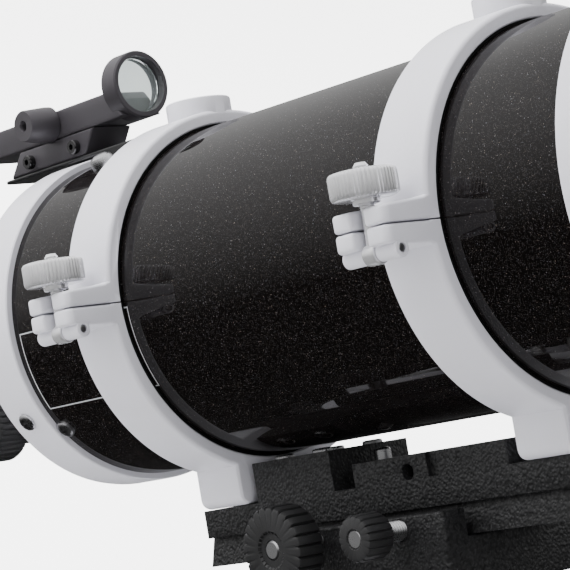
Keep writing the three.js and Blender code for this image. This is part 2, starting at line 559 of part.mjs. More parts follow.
function ringHalf(sign) {
  const disc = rod('x', RING.outer, -RING.half, RING.half, [0, 0, 0], FINE);
  const bore = rod('x', RING.inner, -RING.half - 1, RING.half + 1, [0, 0, 0], FINE);
  const far = 120; // past every edge of the ring
  const otherSide = sign > 0
    ? block([-far, far], [-far, HINGE.y], [-far, RING.split])
    : block([-far, far], [-far, HINGE.y], [-RING.split, far]);
  const ear = prism('x', earOutline(sign), -RING.half, RING.half);
  const slot = block([-EAR.slot, EAR.slot], [EAR.tip - 4, EAR.slotEnd], [-20, 20]);
  const slotRound = rod('z', EAR.slot, -20, 20, [0, EAR.slotEnd, 0]);
  const footMiddle = FOOT.bottom + FOOT.halfHeight;
  const footOutline = roundedRectangle(0, footMiddle, FOOT.half, FOOT.halfHeight, FOOT.corner);
  const pad = sign > 0
    ? rod('z', BOSS.radius, BOSS.bottom, BOSS.top, [0, BOSS.y, 0], MEDIUM)
    : prism('x', footOutline, -RING.half, RING.half);
  const half = cut(join(disc, ear, pad), bore, otherSide, slot, slotRound);
  const pinHole = rod('x', HINGE.pin + GAP, -RING.half - 1, RING.half + 1, [0, HINGE.y, 0]);
  const reachHeights = sign > 0 ? [RING.split, HINGE.radius] : [-HINGE.radius, -RING.split];
  const reach = block([-RING.half, RING.half], [RING.inner + 0.8, HINGE.y], reachHeights);
  const beyond = [HINGE.y - HINGE.radius - 1, 100];
  if (sign > 0) {
    const leaf = cut(join(hingeKnuckle(-HINGE.inner, HINGE.inner), reach),
      bore, block([-20, -HINGE.inner], beyond, [-10, 10]),
      block([HINGE.inner, 20], beyond, [-10, 10]));
    const tapped = rod('z', BOSS.hole, BOSS.top - BOSS.holeDepth, BOSS.top + 1, [0, BOSS.y, 0]);
    const clearance = rod('x', HINGE.radius + GAP, HINGE.inner, 20, [0, HINGE.y, 0]);
    const clearanceRear = rod('x', HINGE.radius + GAP, -20, -HINGE.inner, [0, HINGE.y, 0]);
    return cut(join(half, leaf), pinHole, tapped, clearance, clearanceRear);
  }
  const middle = block([-HINGE.outer, HINGE.outer], beyond, [-10, 10]);
  const leaf = cut(join(hingeKnuckle(-RING.half, RING.half), reach), bore, middle);
  const clearance = rod('x', HINGE.radius + GAP, -HINGE.outer, HINGE.outer, [0, HINGE.y, 0]);
  const barrel = cut(rod('x', BARREL.radius, -RING.half, RING.half, [0, BARREL.y, BARREL.z]), slot);
  const webSpan = [BARREL.y - 2.5, BARREL.y + 2.5];
  const web = cut(block([-RING.half, RING.half], webSpan, [BARREL.z, -6]), slot, slotRound);
  const crossHole = rod('x', BARREL.hole, -RING.half - 1, RING.half + 1, [0, BARREL.y, BARREL.z]);
  const boltHole = rod('z', RING_BOLT.radius + GAP, FOOT.bottom - 1, RING_BOLT.end + 1, [0, 0, 0]);
  return cut(join(half, leaf, barrel, web), clearance, pinHole, crossHole, boltHole);
}

function tubeRing(label, x) {
  const ring = new THREE.Group();
  ring.position.set(x, 0, 0);
  optics.add(ring);
  place(ring, `ring_${label}_lower`, ringHalf(-1), WHITE);
  place(ring, `ring_${label}_upper`, ringHalf(1), WHITE);
  place(ring, `ring_${label}_hinge_pin`,
    bevelledRod('x', HINGE.pin, -RING.half - 0.5, RING.half + 0.5, 0.5, [0, HINGE.y, 0]), STEEL);
  place(ring, `ring_${label}_cross_pin`,
    rod('x', BARREL.hole - GAP, -RING.half + 0.4, RING.half - 0.4, [0, BARREL.y, BARREL.z]), STEEL);

  const eye = rod('x', SWING.eye, -SWING.eyeHalf, SWING.eyeHalf, [0, BARREL.y, BARREL.z]);
  const shank = bevelledRod('z', SWING.shank, BARREL.z, SWING.top, 0.8, [0, BARREL.y, 0]);
  const eyeHole = rod('x', BARREL.hole, -5, 5, [0, BARREL.y, BARREL.z]);
  place(ring, `ring_${label}_swing_bolt`, cut(join(eye, shank), eyeHole), CHROME);

  const collar = rod('z', KNOB.collar, KNOB.collarBottom, KNOB.bottom + 1, [0, BARREL.y, 0]);
  const grip = prism('z', flutedOutline(KNOB.radius, KNOB.depth, KNOB.flutes, 2), KNOB.bottom, KNOB.top);
  const gripGeometry = toGeometry(grip);
  gripGeometry.translate(0, BARREL.y, 0);
  const through = rod('z', SWING.shank + GAP, KNOB.collarBottom - 1, KNOB.top + 1, [0, BARREL.y, 0]);
  place(ring, `ring_${label}_clamp_knob`, cut(join(toSolid(gripGeometry), collar), through), CHROME);

  const bolt = turned('z', [
    [0, RING_BOLT.headBottom], [RING_BOLT.head, RING_BOLT.headBottom],
    [RING_BOLT.head, RING_BOLT.headTop],
    [RING_BOLT.radius, RING_BOLT.headTop], [RING_BOLT.radius, RING_BOLT.end], [0, RING_BOLT.end],
  ]);
  place(ring, `ring_${label}_bolt`, bolt, STEEL);
}

// ---------------------------------------------------------------- optical tube
function opticalTube() {
  place(optics, 'tube',
    hollow('x', TUBE.radius, TUBE.radius - TUBE.wall, TUBE.rear, TUBE.front, [0, 0, 0], FINE), BLACK_GLOSS);

  const spigot = TUBE.radius - TUBE.wall - GAP;
  const flange = turned('x', [
    [FLANGE.inner, FLANGE.spigot], [spigot, FLANGE.spigot], [spigot, FLANGE.front],
    [FLANGE.radius, FLANGE.front],
    [FLANGE.radius, FLANGE.edge], [FLANGE.radius - 3, FLANGE.back], [FLANGE.bore, FLANGE.back],
    [FLANGE.bore, FLANGE.back + 6], [FLANGE.inner, FLANGE.back + 10],
    [FLANGE.inner, FLANGE.spigot],
  ], [0, 0, 0], FINE);
  place(optics, 'rear_flange', flange, WHITE);

  const shieldBore = TUBE.radius + 0.4;
  const shieldInner = SHIELD.radius - SHIELD.wall;
  const shield = turned('x', [
    [shieldBore, SHIELD.rear], [SHIELD.radius, SHIELD.rear], [SHIELD.radius, SHIELD.front - 1],
    [SHIELD.radius - 1, SHIELD.front], [shieldInner, SHIELD.front],
    [shieldInner, SHIELD.rear + SHIELD.lip], [shieldBore, SHIELD.rear + SHIELD.lip],
    [shieldBore, SHIELD.rear],
  ], [0, 0, 0], FINE);
  place(optics, 'dew_shield', shield, WHITE);

  const cell = turned('x', [
    [TUBE.radius + GAP, CELL.rear], [CELL.radius, CELL.rear], [CELL.radius, CELL.front - 3],
    [CELL.radius - 3, CELL.front], [LENS.radius + GAP, CELL.front],
    [LENS.radius + GAP, LENS.rear - GAP],
    [CELL.seat, LENS.rear - GAP], [CELL.seat, TUBE.front + GAP],
    [TUBE.radius + GAP, TUBE.front + GAP], [TUBE.radius + GAP, CELL.rear],
  ], [0, 0, 0], FINE);
  place(optics, 'lens_cell', cell, BLACK_GLOSS);

  const steps = 5;
  const profile = [[0, LENS.rear + 1]];
  profile.push([LENS.radius, LENS.rear]);
  for (let i = steps; i >= 0; i -= 1) {
    const radius = (LENS.radius * i) / steps;
    profile.push([radius, LENS.rear + LENS.edge + LENS.bulge * (1 - (i / steps) ** 2)]);
  }
  place(optics, 'lens', turned('x', profile, [0, 0, 0], MEDIUM), GLASS);

  const retainer = hollow(
    'x', LENS.radius, RETAINER.inner, RETAINER.rear, RETAINER.front, [0, 0, 0], MEDIUM);
  place(optics, 'lens_retaining_ring', retainer, BLACK_GLOSS);
}

function focuser() {
  const front = FLANGE.back - GAP;
  const body = turned('x', [
    [FOCUSER.bore, FOCUSER.nose], [FOCUSER.body, FOCUSER.nose], [FOCUSER.body, front],
    [FOCUSER.flange, front],
    [FOCUSER.flange, front - 5], [FOCUSER.body, front - 7], [FOCUSER.body, FOCUSER.tail],
    [FOCUSER.bore, FOCUSER.tail], [FOCUSER.bore, FOCUSER.nose],
  ], [0, 0, 0], MEDIUM);
  const { halfLength, halfWidth, below, top } = PINION_HOUSE;
  const house = block([ROLLER.x - halfLength, ROLLER.x + halfLength], [-halfWidth, halfWidth],
    [ROLLER.z - below, top]);
  const bore = rod('x', FOCUSER.bore, FOCUSER.tail - 1, FOCUSER.nose + 1, [0, 0, 0], MEDIUM);
  const shaftHole = rod('y', ROLLER.radius + GAP, -30, 30, [ROLLER.x, 0, ROLLER.z]);
  place(optics, 'focuser_body', cut(join(body, house), bore, shaftHole), BLACK_GLOSS);

  const drawtube = turned('x', [
    [DRAWTUBE.inner, DRAWTUBE.front], [DRAWTUBE.radius, DRAWTUBE.front],
    [DRAWTUBE.radius, DRAWTUBE.collarFront], [DRAWTUBE.collar, DRAWTUBE.collarFront],
    [DRAWTUBE.collar, DRAWTUBE.rear], [DRAWTUBE.inner, DRAWTUBE.rear],
    [DRAWTUBE.inner, DRAWTUBE.front],
  ], [0, 0, 0], MEDIUM);
  place(optics, 'drawtube', drawtube, SILVER);

  place(optics, 'focus_shaft',
    rod('y', ROLLER.radius, -ROLLER.end, ROLLER.end, [ROLLER.x, 0, ROLLER.z]), STEEL);
  for (const [name, side] of [['focus_knob_left', 1], ['focus_knob_right', -1]]) {
    const { radius, inner, outer } = FOCUS_KNOB;
    const knob = turned('y', [
      [ROLLER.radius + GAP, side * inner], [radius, side * inner], [radius, side * (outer - 2)],
      [radius - 2, side * outer], [ROLLER.radius + GAP, side * outer], [ROLLER.radius + GAP, side * inner],
    ], [ROLLER.x, 0, ROLLER.z], MEDIUM);
    place(optics, name, knob, PLASTIC);
  }
}

function diagonalAndEyepiece() {
  const { nose, noseFront, front, rear, half, low, high, shoulderDrop, mirrorRun } = DIAGONAL;
  const barrel = rod('x', nose, front - 2, noseFront, [0, 0, 0], MEDIUM);
  const body = prism('y', [
    [front, low], [front, high], [rear, high], [rear, high - shoulderDrop], [rear + mirrorRun, low],
  ], -half, half);
  const centre = [EYEPIECE.x, 0, 0];
  const { barrel: stem, bottom, shoulder, top, neck, grip, cup, eyeHole } = EYEPIECE;
  const holder = rod('z', DIAGONAL.holder, high - 1, shoulder - 2, centre, MEDIUM);
  const socket = rod('z', stem + GAP, bottom - 4, shoulder, centre, MEDIUM);
  place(optics, 'star_diagonal', cut(join(barrel, body, holder), socket), PLASTIC);

  const eyepiece = turned('z', [
    [0, bottom], [stem, bottom], [stem, shoulder], [neck, shoulder], [grip, shoulder + 6],
    [grip, top - 14], [neck, top], [cup, top], [eyeHole, top - 6], [0, top - 7],
  ], centre, MEDIUM);
  place(optics, 'eyepiece', eyepiece, PLASTIC);
}

function finder() {
  const bar = block([SHOE.rear, SHOE.front], [-SHOE.half, SHOE.half], [SHOE.low, SHOE.top]);
  const foot = block([SHOE.footRear, SHOE.front], [-SHOE.half, SHOE.half],
    [SHOE.footBottom, SHOE.low + 1]);
  const tubeClear = rod('x', TUBE.radius + GAP, SHOE.rear, 0, [0, 0, 0], FINE);
  place(optics, 'finder_shoe', cut(join(bar, foot), tubeClear), PLASTIC);

  const clamp = prism('y', [
    [CLAMP.rear, SHOE.top + GAP], [CLAMP.front, SHOE.top + GAP],
    [CLAMP.frontTop, FINDER_BAR.low - GAP], [CLAMP.rearTop, FINDER_BAR.low - GAP],
  ], -CLAMP.half, CLAMP.half);
  place(optics, 'finder_clamp', clamp, DARK_GREY);

  const { rear, front, frontTop, low, top, half: barHalf } = FINDER_BAR;
  const body = prism('y', [[rear, low], [front, low], [frontTop, top], [rear, top]], -barHalf, barHalf);
  const hoop = hollow('x', FINDER_HOOP.radius, FINDER_HOOP.inner, -FINDER_HOOP.half, FINDER_HOOP.half,
    [FINDER_HOOP.x, 0, FINDER_HOOP.z], SMALL);
  const opening = rod('x', FINDER_HOOP.inner, -FINDER_HOOP.half, FINDER_HOOP.half + 1,
    [FINDER_HOOP.x, 0, FINDER_HOOP.z], SMALL);
  const pane = rod('x', FINDER_HOOP.inner - GAP, -1, 1, [FINDER_HOOP.x, 0, FINDER_HOOP.z], SMALL);
  place(optics, 'finder_window', pane, GLASS);
  const { x, z, inner, outer, base, shoulder, tip, stem, stemEnd } = FINDER_KNOB;
  const knobHole = rod('y', stem + GAP, -barHalf - 1, stemEnd + 1, [x, 0, z]);
  place(optics, 'finder_body', cut(join(body, hoop), opening, knobHole), DARK_GREY);

  const knob = turned('y', [
    [0, outer + 3], [2, outer + 3], [2, outer], [tip, outer], [base, shoulder], [base, inner],
    [stem, inner], [stem, stemEnd], [0, stemEnd],
  ], [x, 0, z]);
  place(optics, 'finder_knob', knob, PLASTIC);
}

// ---------------------------------------------------------------- assembly
azimuthBase();
yoke();
pivotBolts();
latitudeBolts();
azimuthBolts();
raHousing();
polarCap();
settingCircle(polar, 'ra_setting_circle', 'x', RA.front + GAP);
slowMotion(polar, 'ra_slow_motion', RA.front - WORM.depth / 2, WORM.z);
lockLever(polar, 'ra_lock_lever', [LEVER.polarX, 0, RA.radius + 2 + GAP], [0, 0, 0]);
raShaft();
decHousing();
settingCircle(declination, 'dec_setting_circle', 'z', DEC.top + GAP);
slowMotion(declination, 'dec_slow_motion', DEC_WORM_X, DEC.top - WORM.depth / 2 - 2);
const levelTurn = [-Math.PI / 2, 0, Math.PI / 2];
lockLever(declination, 'dec_lock_lever', [0, DEC.radius + 2 + GAP, LEVER.declinationZ], levelTurn);
counterweightSet();
saddleSet();
dovetailPlate();
tubeRing('rear', -RING.offset);
tubeRing('front', RING.offset);
opticalTube();
focuser();
diagonalAndEyepiece();
finder();

export default mount;
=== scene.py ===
"""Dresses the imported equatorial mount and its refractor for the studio."""
import json
import logging
import math
from dataclasses import dataclass, field
from enum import Enum
from typing import Dict, Iterable, List, Optional, Sequence, Tuple

import bmesh
import bpy
from mathutils import Matrix, Vector


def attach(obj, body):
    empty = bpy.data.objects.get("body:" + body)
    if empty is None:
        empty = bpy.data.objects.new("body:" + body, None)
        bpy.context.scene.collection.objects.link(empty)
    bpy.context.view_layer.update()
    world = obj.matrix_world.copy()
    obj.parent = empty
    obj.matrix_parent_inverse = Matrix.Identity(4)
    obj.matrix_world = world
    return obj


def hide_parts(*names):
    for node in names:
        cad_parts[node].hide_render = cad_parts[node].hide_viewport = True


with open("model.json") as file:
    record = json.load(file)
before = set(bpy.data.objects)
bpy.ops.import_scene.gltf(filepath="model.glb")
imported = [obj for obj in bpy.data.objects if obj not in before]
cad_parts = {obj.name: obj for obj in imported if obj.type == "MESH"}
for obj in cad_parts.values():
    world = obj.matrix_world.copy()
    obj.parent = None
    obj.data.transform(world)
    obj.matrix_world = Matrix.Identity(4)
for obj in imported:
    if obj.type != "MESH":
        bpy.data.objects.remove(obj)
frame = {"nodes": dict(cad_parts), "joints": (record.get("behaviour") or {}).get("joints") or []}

LOG = logging.getLogger("mount")
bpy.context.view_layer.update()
MM = 0.001
Profile = Sequence[Tuple[float, float]]
Outline = Sequence[Tuple[float, float]]
Colour = Tuple[float, float, float]


class Axis(Enum):
    """The direction that a turned or pushed shape runs along."""

    X = "x"
    Y = "y"
    Z = "z"


TURN = {
    Axis.X: Matrix.Rotation(math.radians(90), 4, "Y"),
    Axis.Y: Matrix.Rotation(math.radians(-90), 4, "X"),
    Axis.Z: Matrix.Identity(4),
}
PUSH = {
    Axis.X: Matrix(((0, 0, 1, 0), (1, 0, 0, 0), (0, 1, 0, 0), (0, 0, 0, 1))),
    Axis.Y: Matrix(((1, 0, 0, 0), (0, 0, -1, 0), (0, 1, 0, 0), (0, 0, 0, 1))),
    Axis.Z: Matrix.Identity(4),
}


def joint(name: str) -> dict:
    """Looks up one joint of the frame.

    Args:
        name: The joint's name.

    Returns:
        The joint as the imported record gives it.
    """
    return next(j for j in frame["joints"] if j["name"] == name)


def joint_point(name: str) -> Vector:
    """Returns the point on a hinge's axis, in metres."""
    return Vector(joint(name)["pos_m"])


POLE = Vector(joint("right_ascension")["axis"]).normalized()
UP = Vector(joint("declination")["axis"]).normalized()
TILT = Matrix((POLE, Vector((0, 1, 0)), UP)).transposed().to_4x4()


def leaning(origin: Vector) -> Matrix:
    """Returns the frame at a point whose x follows the pole and whose z points to the tube."""
    return Matrix.Translation(origin) @ TILT


def tube_origin() -> Vector:
    """Returns the point of the tube axis midway between the rings."""
    middle = (joint_point("ring_rear_open") + joint_point("ring_front_open")) / 2
    return Vector((middle.x, 0.0, middle.z))


GROUND = Matrix.Identity(4)
POLAR = leaning(joint_point("latitude"))
DECLINATION = leaning(joint_point("declination"))
OPTICS = leaning(tube_origin())


# ------------------------------------------------------------------ bench operations
class Bench:
    """Modelling moves made with Blender's own operators."""

    @staticmethod
    def only(*pieces: bpy.types.Object) -> None:
        """Selects only these pieces and makes the first one active."""
        if bpy.context.object and bpy.context.object.mode != "OBJECT":
            bpy.ops.object.mode_set(mode="OBJECT")
        bpy.ops.object.select_all(action="DESELECT")
        for piece in pieces:
            piece.select_set(True)
        if pieces:
            bpy.context.view_layer.objects.active = pieces[0]

    @staticmethod
    def apply(piece: bpy.types.Object, kind: str, **settings: object) -> bpy.types.Object:
        """Adds one modifier and applies it.

        Args:
            piece: The piece that is changed.
            kind: The modifier's type.
            **settings: The modifier's settings.

        Returns:
            The same piece.
        """
        Bench.only(piece)
        modifier = piece.modifiers.new(kind.title(), kind)
        for key, value in settings.items():
            setattr(modifier, key, value)
        bpy.ops.object.modifier_apply(modifier=modifier.name)
        return piece

    @staticmethod
    def settle(piece: bpy.types.Object, matrix: Matrix) -> bpy.types.Object:
        """Puts a piece in place and moves its place into its mesh.

        Args:
            piece: The piece, still in its own coordinates.
            matrix: Where it goes.

        Returns:
            The same piece, at the origin and unturned.
        """
        Bench.only(piece)
        piece.matrix_world = matrix
        bpy.ops.object.transform_apply(location=True, rotation=True, scale=True)
        return piece

    @staticmethod
    def turned(name: str, profile: Profile, axis: Axis = Axis.Z, sides: int = 96,
               centre: Tuple[float, float, float] = (0, 0, 0), bevel: float = 0.0,
               grooves: int = 0, groove_depth: float = 0.0) -> bpy.types.Object:
        """Turns a profile on a lathe, ring by ring.

        Args:
            name: The piece's name.
            profile: Radius and height pairs in millimetres. It ends on the axis or where it began.
            axis: The axis that it turns about.
            sides: How many sides the round has.
            centre: Where the profile's origin goes, in millimetres.
            bevel: Width of the rounded edges in millimetres.
            grooves: How many grooves the rim has.
            groove_depth: Depth of a groove in millimetres.

        Returns:
            The new piece.
        """
        closed = profile[0] == profile[-1]
        rings = list(profile[:-1]) if closed else [p for p in profile if p[0] > 0]
        first, start = rings[0]
        Bench.only()
        bpy.ops.mesh.primitive_circle_add(vertices=sides, radius=first * MM, location=(0, 0, 0))
        piece = bpy.context.active_object
        piece.name = name
        bpy.ops.object.mode_set(mode="EDIT")
        bpy.ops.mesh.select_all(action="SELECT")
        bpy.ops.transform.translate(value=(0, 0, start * MM))
        if grooves:
            Bench.groove_ring(piece, sides // grooves, 1 - groove_depth / first)
        steps = rings + [rings[0]] if closed else rings
        for (radius, height), (next_radius, next_height) in zip(steps, steps[1:]):
            rise = (0, 0, (next_height - height) * MM)
            bpy.ops.mesh.extrude_region_move(TRANSFORM_OT_translate={"value": rise})
            scale = next_radius / radius
            if abs(scale - 1) > 1e-9:
                bpy.ops.transform.resize(value=(scale, scale, 1), center_override=(0, 0, 0))
        bpy.ops.mesh.select_all(action="SELECT")
        bpy.ops.mesh.remove_doubles(threshold=2e-6)
        if not closed:
            bpy.ops.mesh.fill_holes(sides=0)
            bpy.ops.mesh.select_all(action="SELECT")
        bpy.ops.mesh.normals_make_consistent(inside=False)
        bpy.ops.object.mode_set(mode="OBJECT")
        Bench.settle(piece, Matrix.Translation(Vector(centre) * MM) @ TURN[axis])
        if bevel:
            Bench.round_edges(piece, bevel)
        return Bench.smooth(piece)

    @staticmethod
    def groove_ring(piece: bpy.types.Object, spacing: int, scale: float) -> None:
        """Pulls every so many vertices of the selected circle in, then selects the circle again."""
        bpy.ops.mesh.select_all(action="DESELECT")
        work = bmesh.from_edit_mesh(piece.data)
        work.verts.ensure_lookup_table()
        for vertex in work.verts:
            vertex.select = vertex.index % spacing == 0
        bmesh.update_edit_mesh(piece.data)
        bpy.ops.transform.resize(value=(scale, scale, 1), center_override=(0, 0, 0))
        bpy.ops.mesh.select_all(action="SELECT")

    @staticmethod
    def rod(name: str, radius: float, low: float, high: float, axis: Axis = Axis.Z,
            centre: Tuple[float, float, float] = (0, 0, 0), sides: int = 48,
            bevel: float = 0.0) -> bpy.types.Object:
        """Returns a round bar between two heights, in millimetres."""
        return Bench.turned(name, [(radius, low), (radius, high)], axis, sides, centre, bevel)

    @staticmethod
    def block(name: str, x: Tuple[float, float], y: Tuple[float, float], z: Tuple[float, float],
              bevel: float = 0.0) -> bpy.types.Object:
        """Returns a box between two limits on each axis, in millimetres."""
        Bench.only()
        bpy.ops.mesh.primitive_cube_add(size=1, location=(0, 0, 0))
        piece = bpy.context.active_object
        piece.name = name
        middle = Vector(((x[0] + x[1]) / 2, (y[0] + y[1]) / 2, (z[0] + z[1]) / 2)) * MM
        spans = Vector((x[1] - x[0], y[1] - y[0], z[1] - z[0])) * MM
        Bench.settle(piece, Matrix.Translation(middle) @ Matrix.Diagonal(spans.to_4d()))
        if bevel:
            Bench.round_edges(piece, bevel)
        return Bench.smooth(piece)

    @staticmethod
    def prism(name: str, outline: Outline, low: float, high: float, axis: Axis = Axis.Z,
              bevel: float = 0.0) -> bpy.types.Object:
        """Pushes a flat outline along an axis.

        Args:
            name: The piece's name.
            outline: Points in millimetres, as y-z for X, x-z for Y and x-y for Z.
            low: Where it starts along the axis.
            high: Where it ends.
            axis: The axis.
            bevel: Width of the rounded edges in millimetres.

        Returns:
            The new piece.
        """
        Bench.only()
        bpy.ops.mesh.primitive_circle_add(vertices=len(outline), radius=1, fill_type="NGON")
        piece = bpy.context.active_object
        piece.name = name
        for vertex, (u, v) in zip(piece.data.vertices, outline):
            vertex.co = Vector((u, v, 0)) * MM
        bpy.ops.object.mode_set(mode="EDIT")
        bpy.ops.mesh.select_all(action="SELECT")
        bpy.ops.mesh.extrude_region_move(TRANSFORM_OT_translate={"value": (0, 0, (high - low) * MM)})
        bpy.ops.mesh.select_all(action="SELECT")
        bpy.ops.mesh.normals_make_consistent(inside=False)
        bpy.ops.object.mode_set(mode="OBJECT")
        start = -high if axis is Axis.Y else low
        Bench.settle(piece, PUSH[axis] @ Matrix.Translation((0, 0, start * MM)))
        if bevel:
            Bench.round_edges(piece, bevel)
        return Bench.smooth(piece)

    @staticmethod
    def combine(piece: bpy.types.Object, tool: bpy.types.Object, operation: str) -> bpy.types.Object:
        """Joins, cuts or intersects a piece with a tool, which is used up.

        Args:
            piece: The piece that is kept.
            tool: The other piece.
            operation: UNION, DIFFERENCE or INTERSECT.

        Returns:
            The kept piece.
        """
        Bench.apply(piece, "BOOLEAN", operation=operation, object=tool, solver="EXACT")
        bpy.data.objects.remove(tool)
        return piece

    @staticmethod
    def fuse(piece: bpy.types.Object, *tools: bpy.types.Object) -> bpy.types.Object:
        """Joins the tools to the piece."""
        for tool in tools:
            Bench.combine(piece, tool, "UNION")
        return piece

    @staticmethod
    def carve(piece: bpy.types.Object, *tools: bpy.types.Object) -> bpy.types.Object:
        """Cuts the tools out of the piece."""
        for tool in tools:
            Bench.combine(piece, tool, "DIFFERENCE")
        return piece

    @staticmethod
    def clean(piece: bpy.types.Object, angle: float = 0.6) -> bpy.types.Object:
        """Merges doubles and dissolves the flat faces' inner edges."""
        Bench.only(piece)
        bpy.ops.object.mode_set(mode="EDIT")
        bpy.ops.mesh.select_all(action="SELECT")
        bpy.ops.mesh.remove_doubles(threshold=2e-6)
        bpy.ops.mesh.dissolve_limited(angle_limit=math.radians(angle))
        bpy.ops.object.mode_set(mode="OBJECT")
        return piece

    @staticmethod
    def round_edges(piece: bpy.types.Object, width: float, segments: int = 3,
                    angle: float = 32) -> bpy.types.Object:
        """Rounds the edges sharper than an angle by a width in millimetres."""
        return Bench.apply(piece, "BEVEL", width=width * MM, segments=segments,
                           limit_method="ANGLE", angle_limit=math.radians(angle),
                           use_clamp_overlap=True)

    @staticmethod
    def smooth(piece: bpy.types.Object, angle: float = 32) -> bpy.types.Object:
        """Shades a piece smooth, apart from its sharp edges."""
        Bench.only(piece)
        bpy.ops.object.shade_smooth_by_angle(angle=math.radians(angle))
        return piece

    @staticmethod
    def casting(node: str, name: str, bevel: float, segments: int = 3) -> bpy.types.Object:
        """Makes a finished casting from a copy of a frame node.

        Args:
            node: The frame node.
            name: The new piece's name.
            bevel: Width of the rounded edges in millimetres.
            segments: Steps in a rounded edge.

        Returns:
            The new piece.
        """
        source = frame["nodes"][node]
        piece = bpy.data.objects.new(name, source.data.copy())
        piece.data.materials.clear()
        bpy.context.scene.collection.objects.link(piece)
        Bench.only(piece)
        if piece.data.has_custom_normals:
            bpy.ops.mesh.customdata_custom_splitnormals_clear()
        Bench.clean(piece, 1.0)
        Bench.round_edges(piece, bevel, segments)
        return Bench.smooth(piece)


def rounded_rectangle(u: float, v: float, half_u: float, half_v: float, radius: float,
                      steps: int = 6) -> List[Tuple[float, float]]:
    """Returns the outline of a rectangle with rounded corners about (u, v), in millimetres."""
    points = []
    for sign_u, sign_v, start in ((1, -1, -90), (1, 1, 0), (-1, 1, 90), (-1, -1, 180)):
        for step in range(steps + 1):
            angle = math.radians(start + 90 * step / steps)
            points.append((u + sign_u * (half_u - radius) + radius * math.cos(angle),
                           v + sign_v * (half_v - radius) + radius * math.sin(angle)))
    return points


def threaded(radius: float, low: float, high: float, pitch: float) -> List[Tuple[float, float]]:
    """Returns the profile of a screw thread between two heights, in millimetres."""
    turns = max(1, int(abs(high - low) / pitch))
    step = (high - low) / turns
    points = []
    for turn in range(turns):
        start = low + step * turn
        points += [(radius - pitch * 0.45, start), (radius, start + step * 0.42),
                   (radius, start + step * 0.58)]
    return points + [(radius - pitch * 0.45, high)]


def hand_over(piece: bpy.types.Object, body: str, slot: str, material: bpy.types.Material,
              *nodes: str, matrix: Optional[Matrix] = None) -> bpy.types.Object:
    """Gives a finished piece its place, material and body, and hides the frame nodes that it stands for.

    Args:
        piece: The finished piece.
        body: The frame body that it rides on.
        slot: The record's material slot. Not used.
        material: Its material.
        *nodes: The frame nodes that it stands for.
        matrix: The frame that it was modelled in, if that isn't the ground's.

    Returns:
        The same piece.
    """
    if matrix is not None:
        Bench.settle(piece, matrix)
    piece.data.materials.clear()
    piece.data.materials.append(material)
    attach(piece, body)
    if nodes:
        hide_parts(*nodes)
    return piece


# ------------------------------------------------------------------ finishes
class Sockets:
    """Makes nodes and joins their sockets."""

    def __init__(self, tree: bpy.types.NodeTree) -> None:
        """Starts with a node tree."""
        self.tree = tree

    def node(self, kind: str, **values: object) -> bpy.types.Node:
        """Adds a node and sets its properties, or its inputs where the name is an input's."""
        made = self.tree.nodes.new(kind)
        for key, value in values.items():
            if hasattr(made, key):
                setattr(made, key, value)
            else:
                made.inputs[key.replace("_", " ")].default_value = value
        return made

    def join(self, source: bpy.types.NodeSocket, target: bpy.types.NodeSocket) -> None:
        """Joins an output to an input."""
        self.tree.links.new(source, target)

    def math(self, operation: str, first: object, second: object = 0.0,
             clamp: bool = False) -> bpy.types.NodeSocket:
        """Adds a math node on sockets or numbers and returns its output."""
        made = self.node("ShaderNodeMath", operation=operation, use_clamp=clamp)
        for index, value in enumerate((first, second)):
            if isinstance(value, (int, float)):
                made.inputs[index].default_value = value
            else:
                self.join(value, made.inputs[index])
        return made.outputs[0]

    def blend(self, factor: bpy.types.NodeSocket, first: Colour, second: Colour) -> bpy.types.NodeSocket:
        """Mixes two colours by a mask and returns the mix."""
        made = self.node("ShaderNodeMix", data_type="RGBA")
        self.join(factor, made.inputs[0])
        made.inputs[6].default_value = (*first, 1)
        made.inputs[7].default_value = (*second, 1)
        return made.outputs[2]

    def spread(self, value: bpy.types.NodeSocket, low: float, high: float,
               start: float = 0.0, end: float = 1.0) -> bpy.types.NodeSocket:
        """Maps a range onto another one, clamped, and returns it."""
        made = self.node("ShaderNodeMapRange", clamp=True)
        self.join(value, made.inputs[0])
        for index, number in enumerate((start, end, low, high)):
            made.inputs[index + 1].default_value = number
        return made.outputs[0]


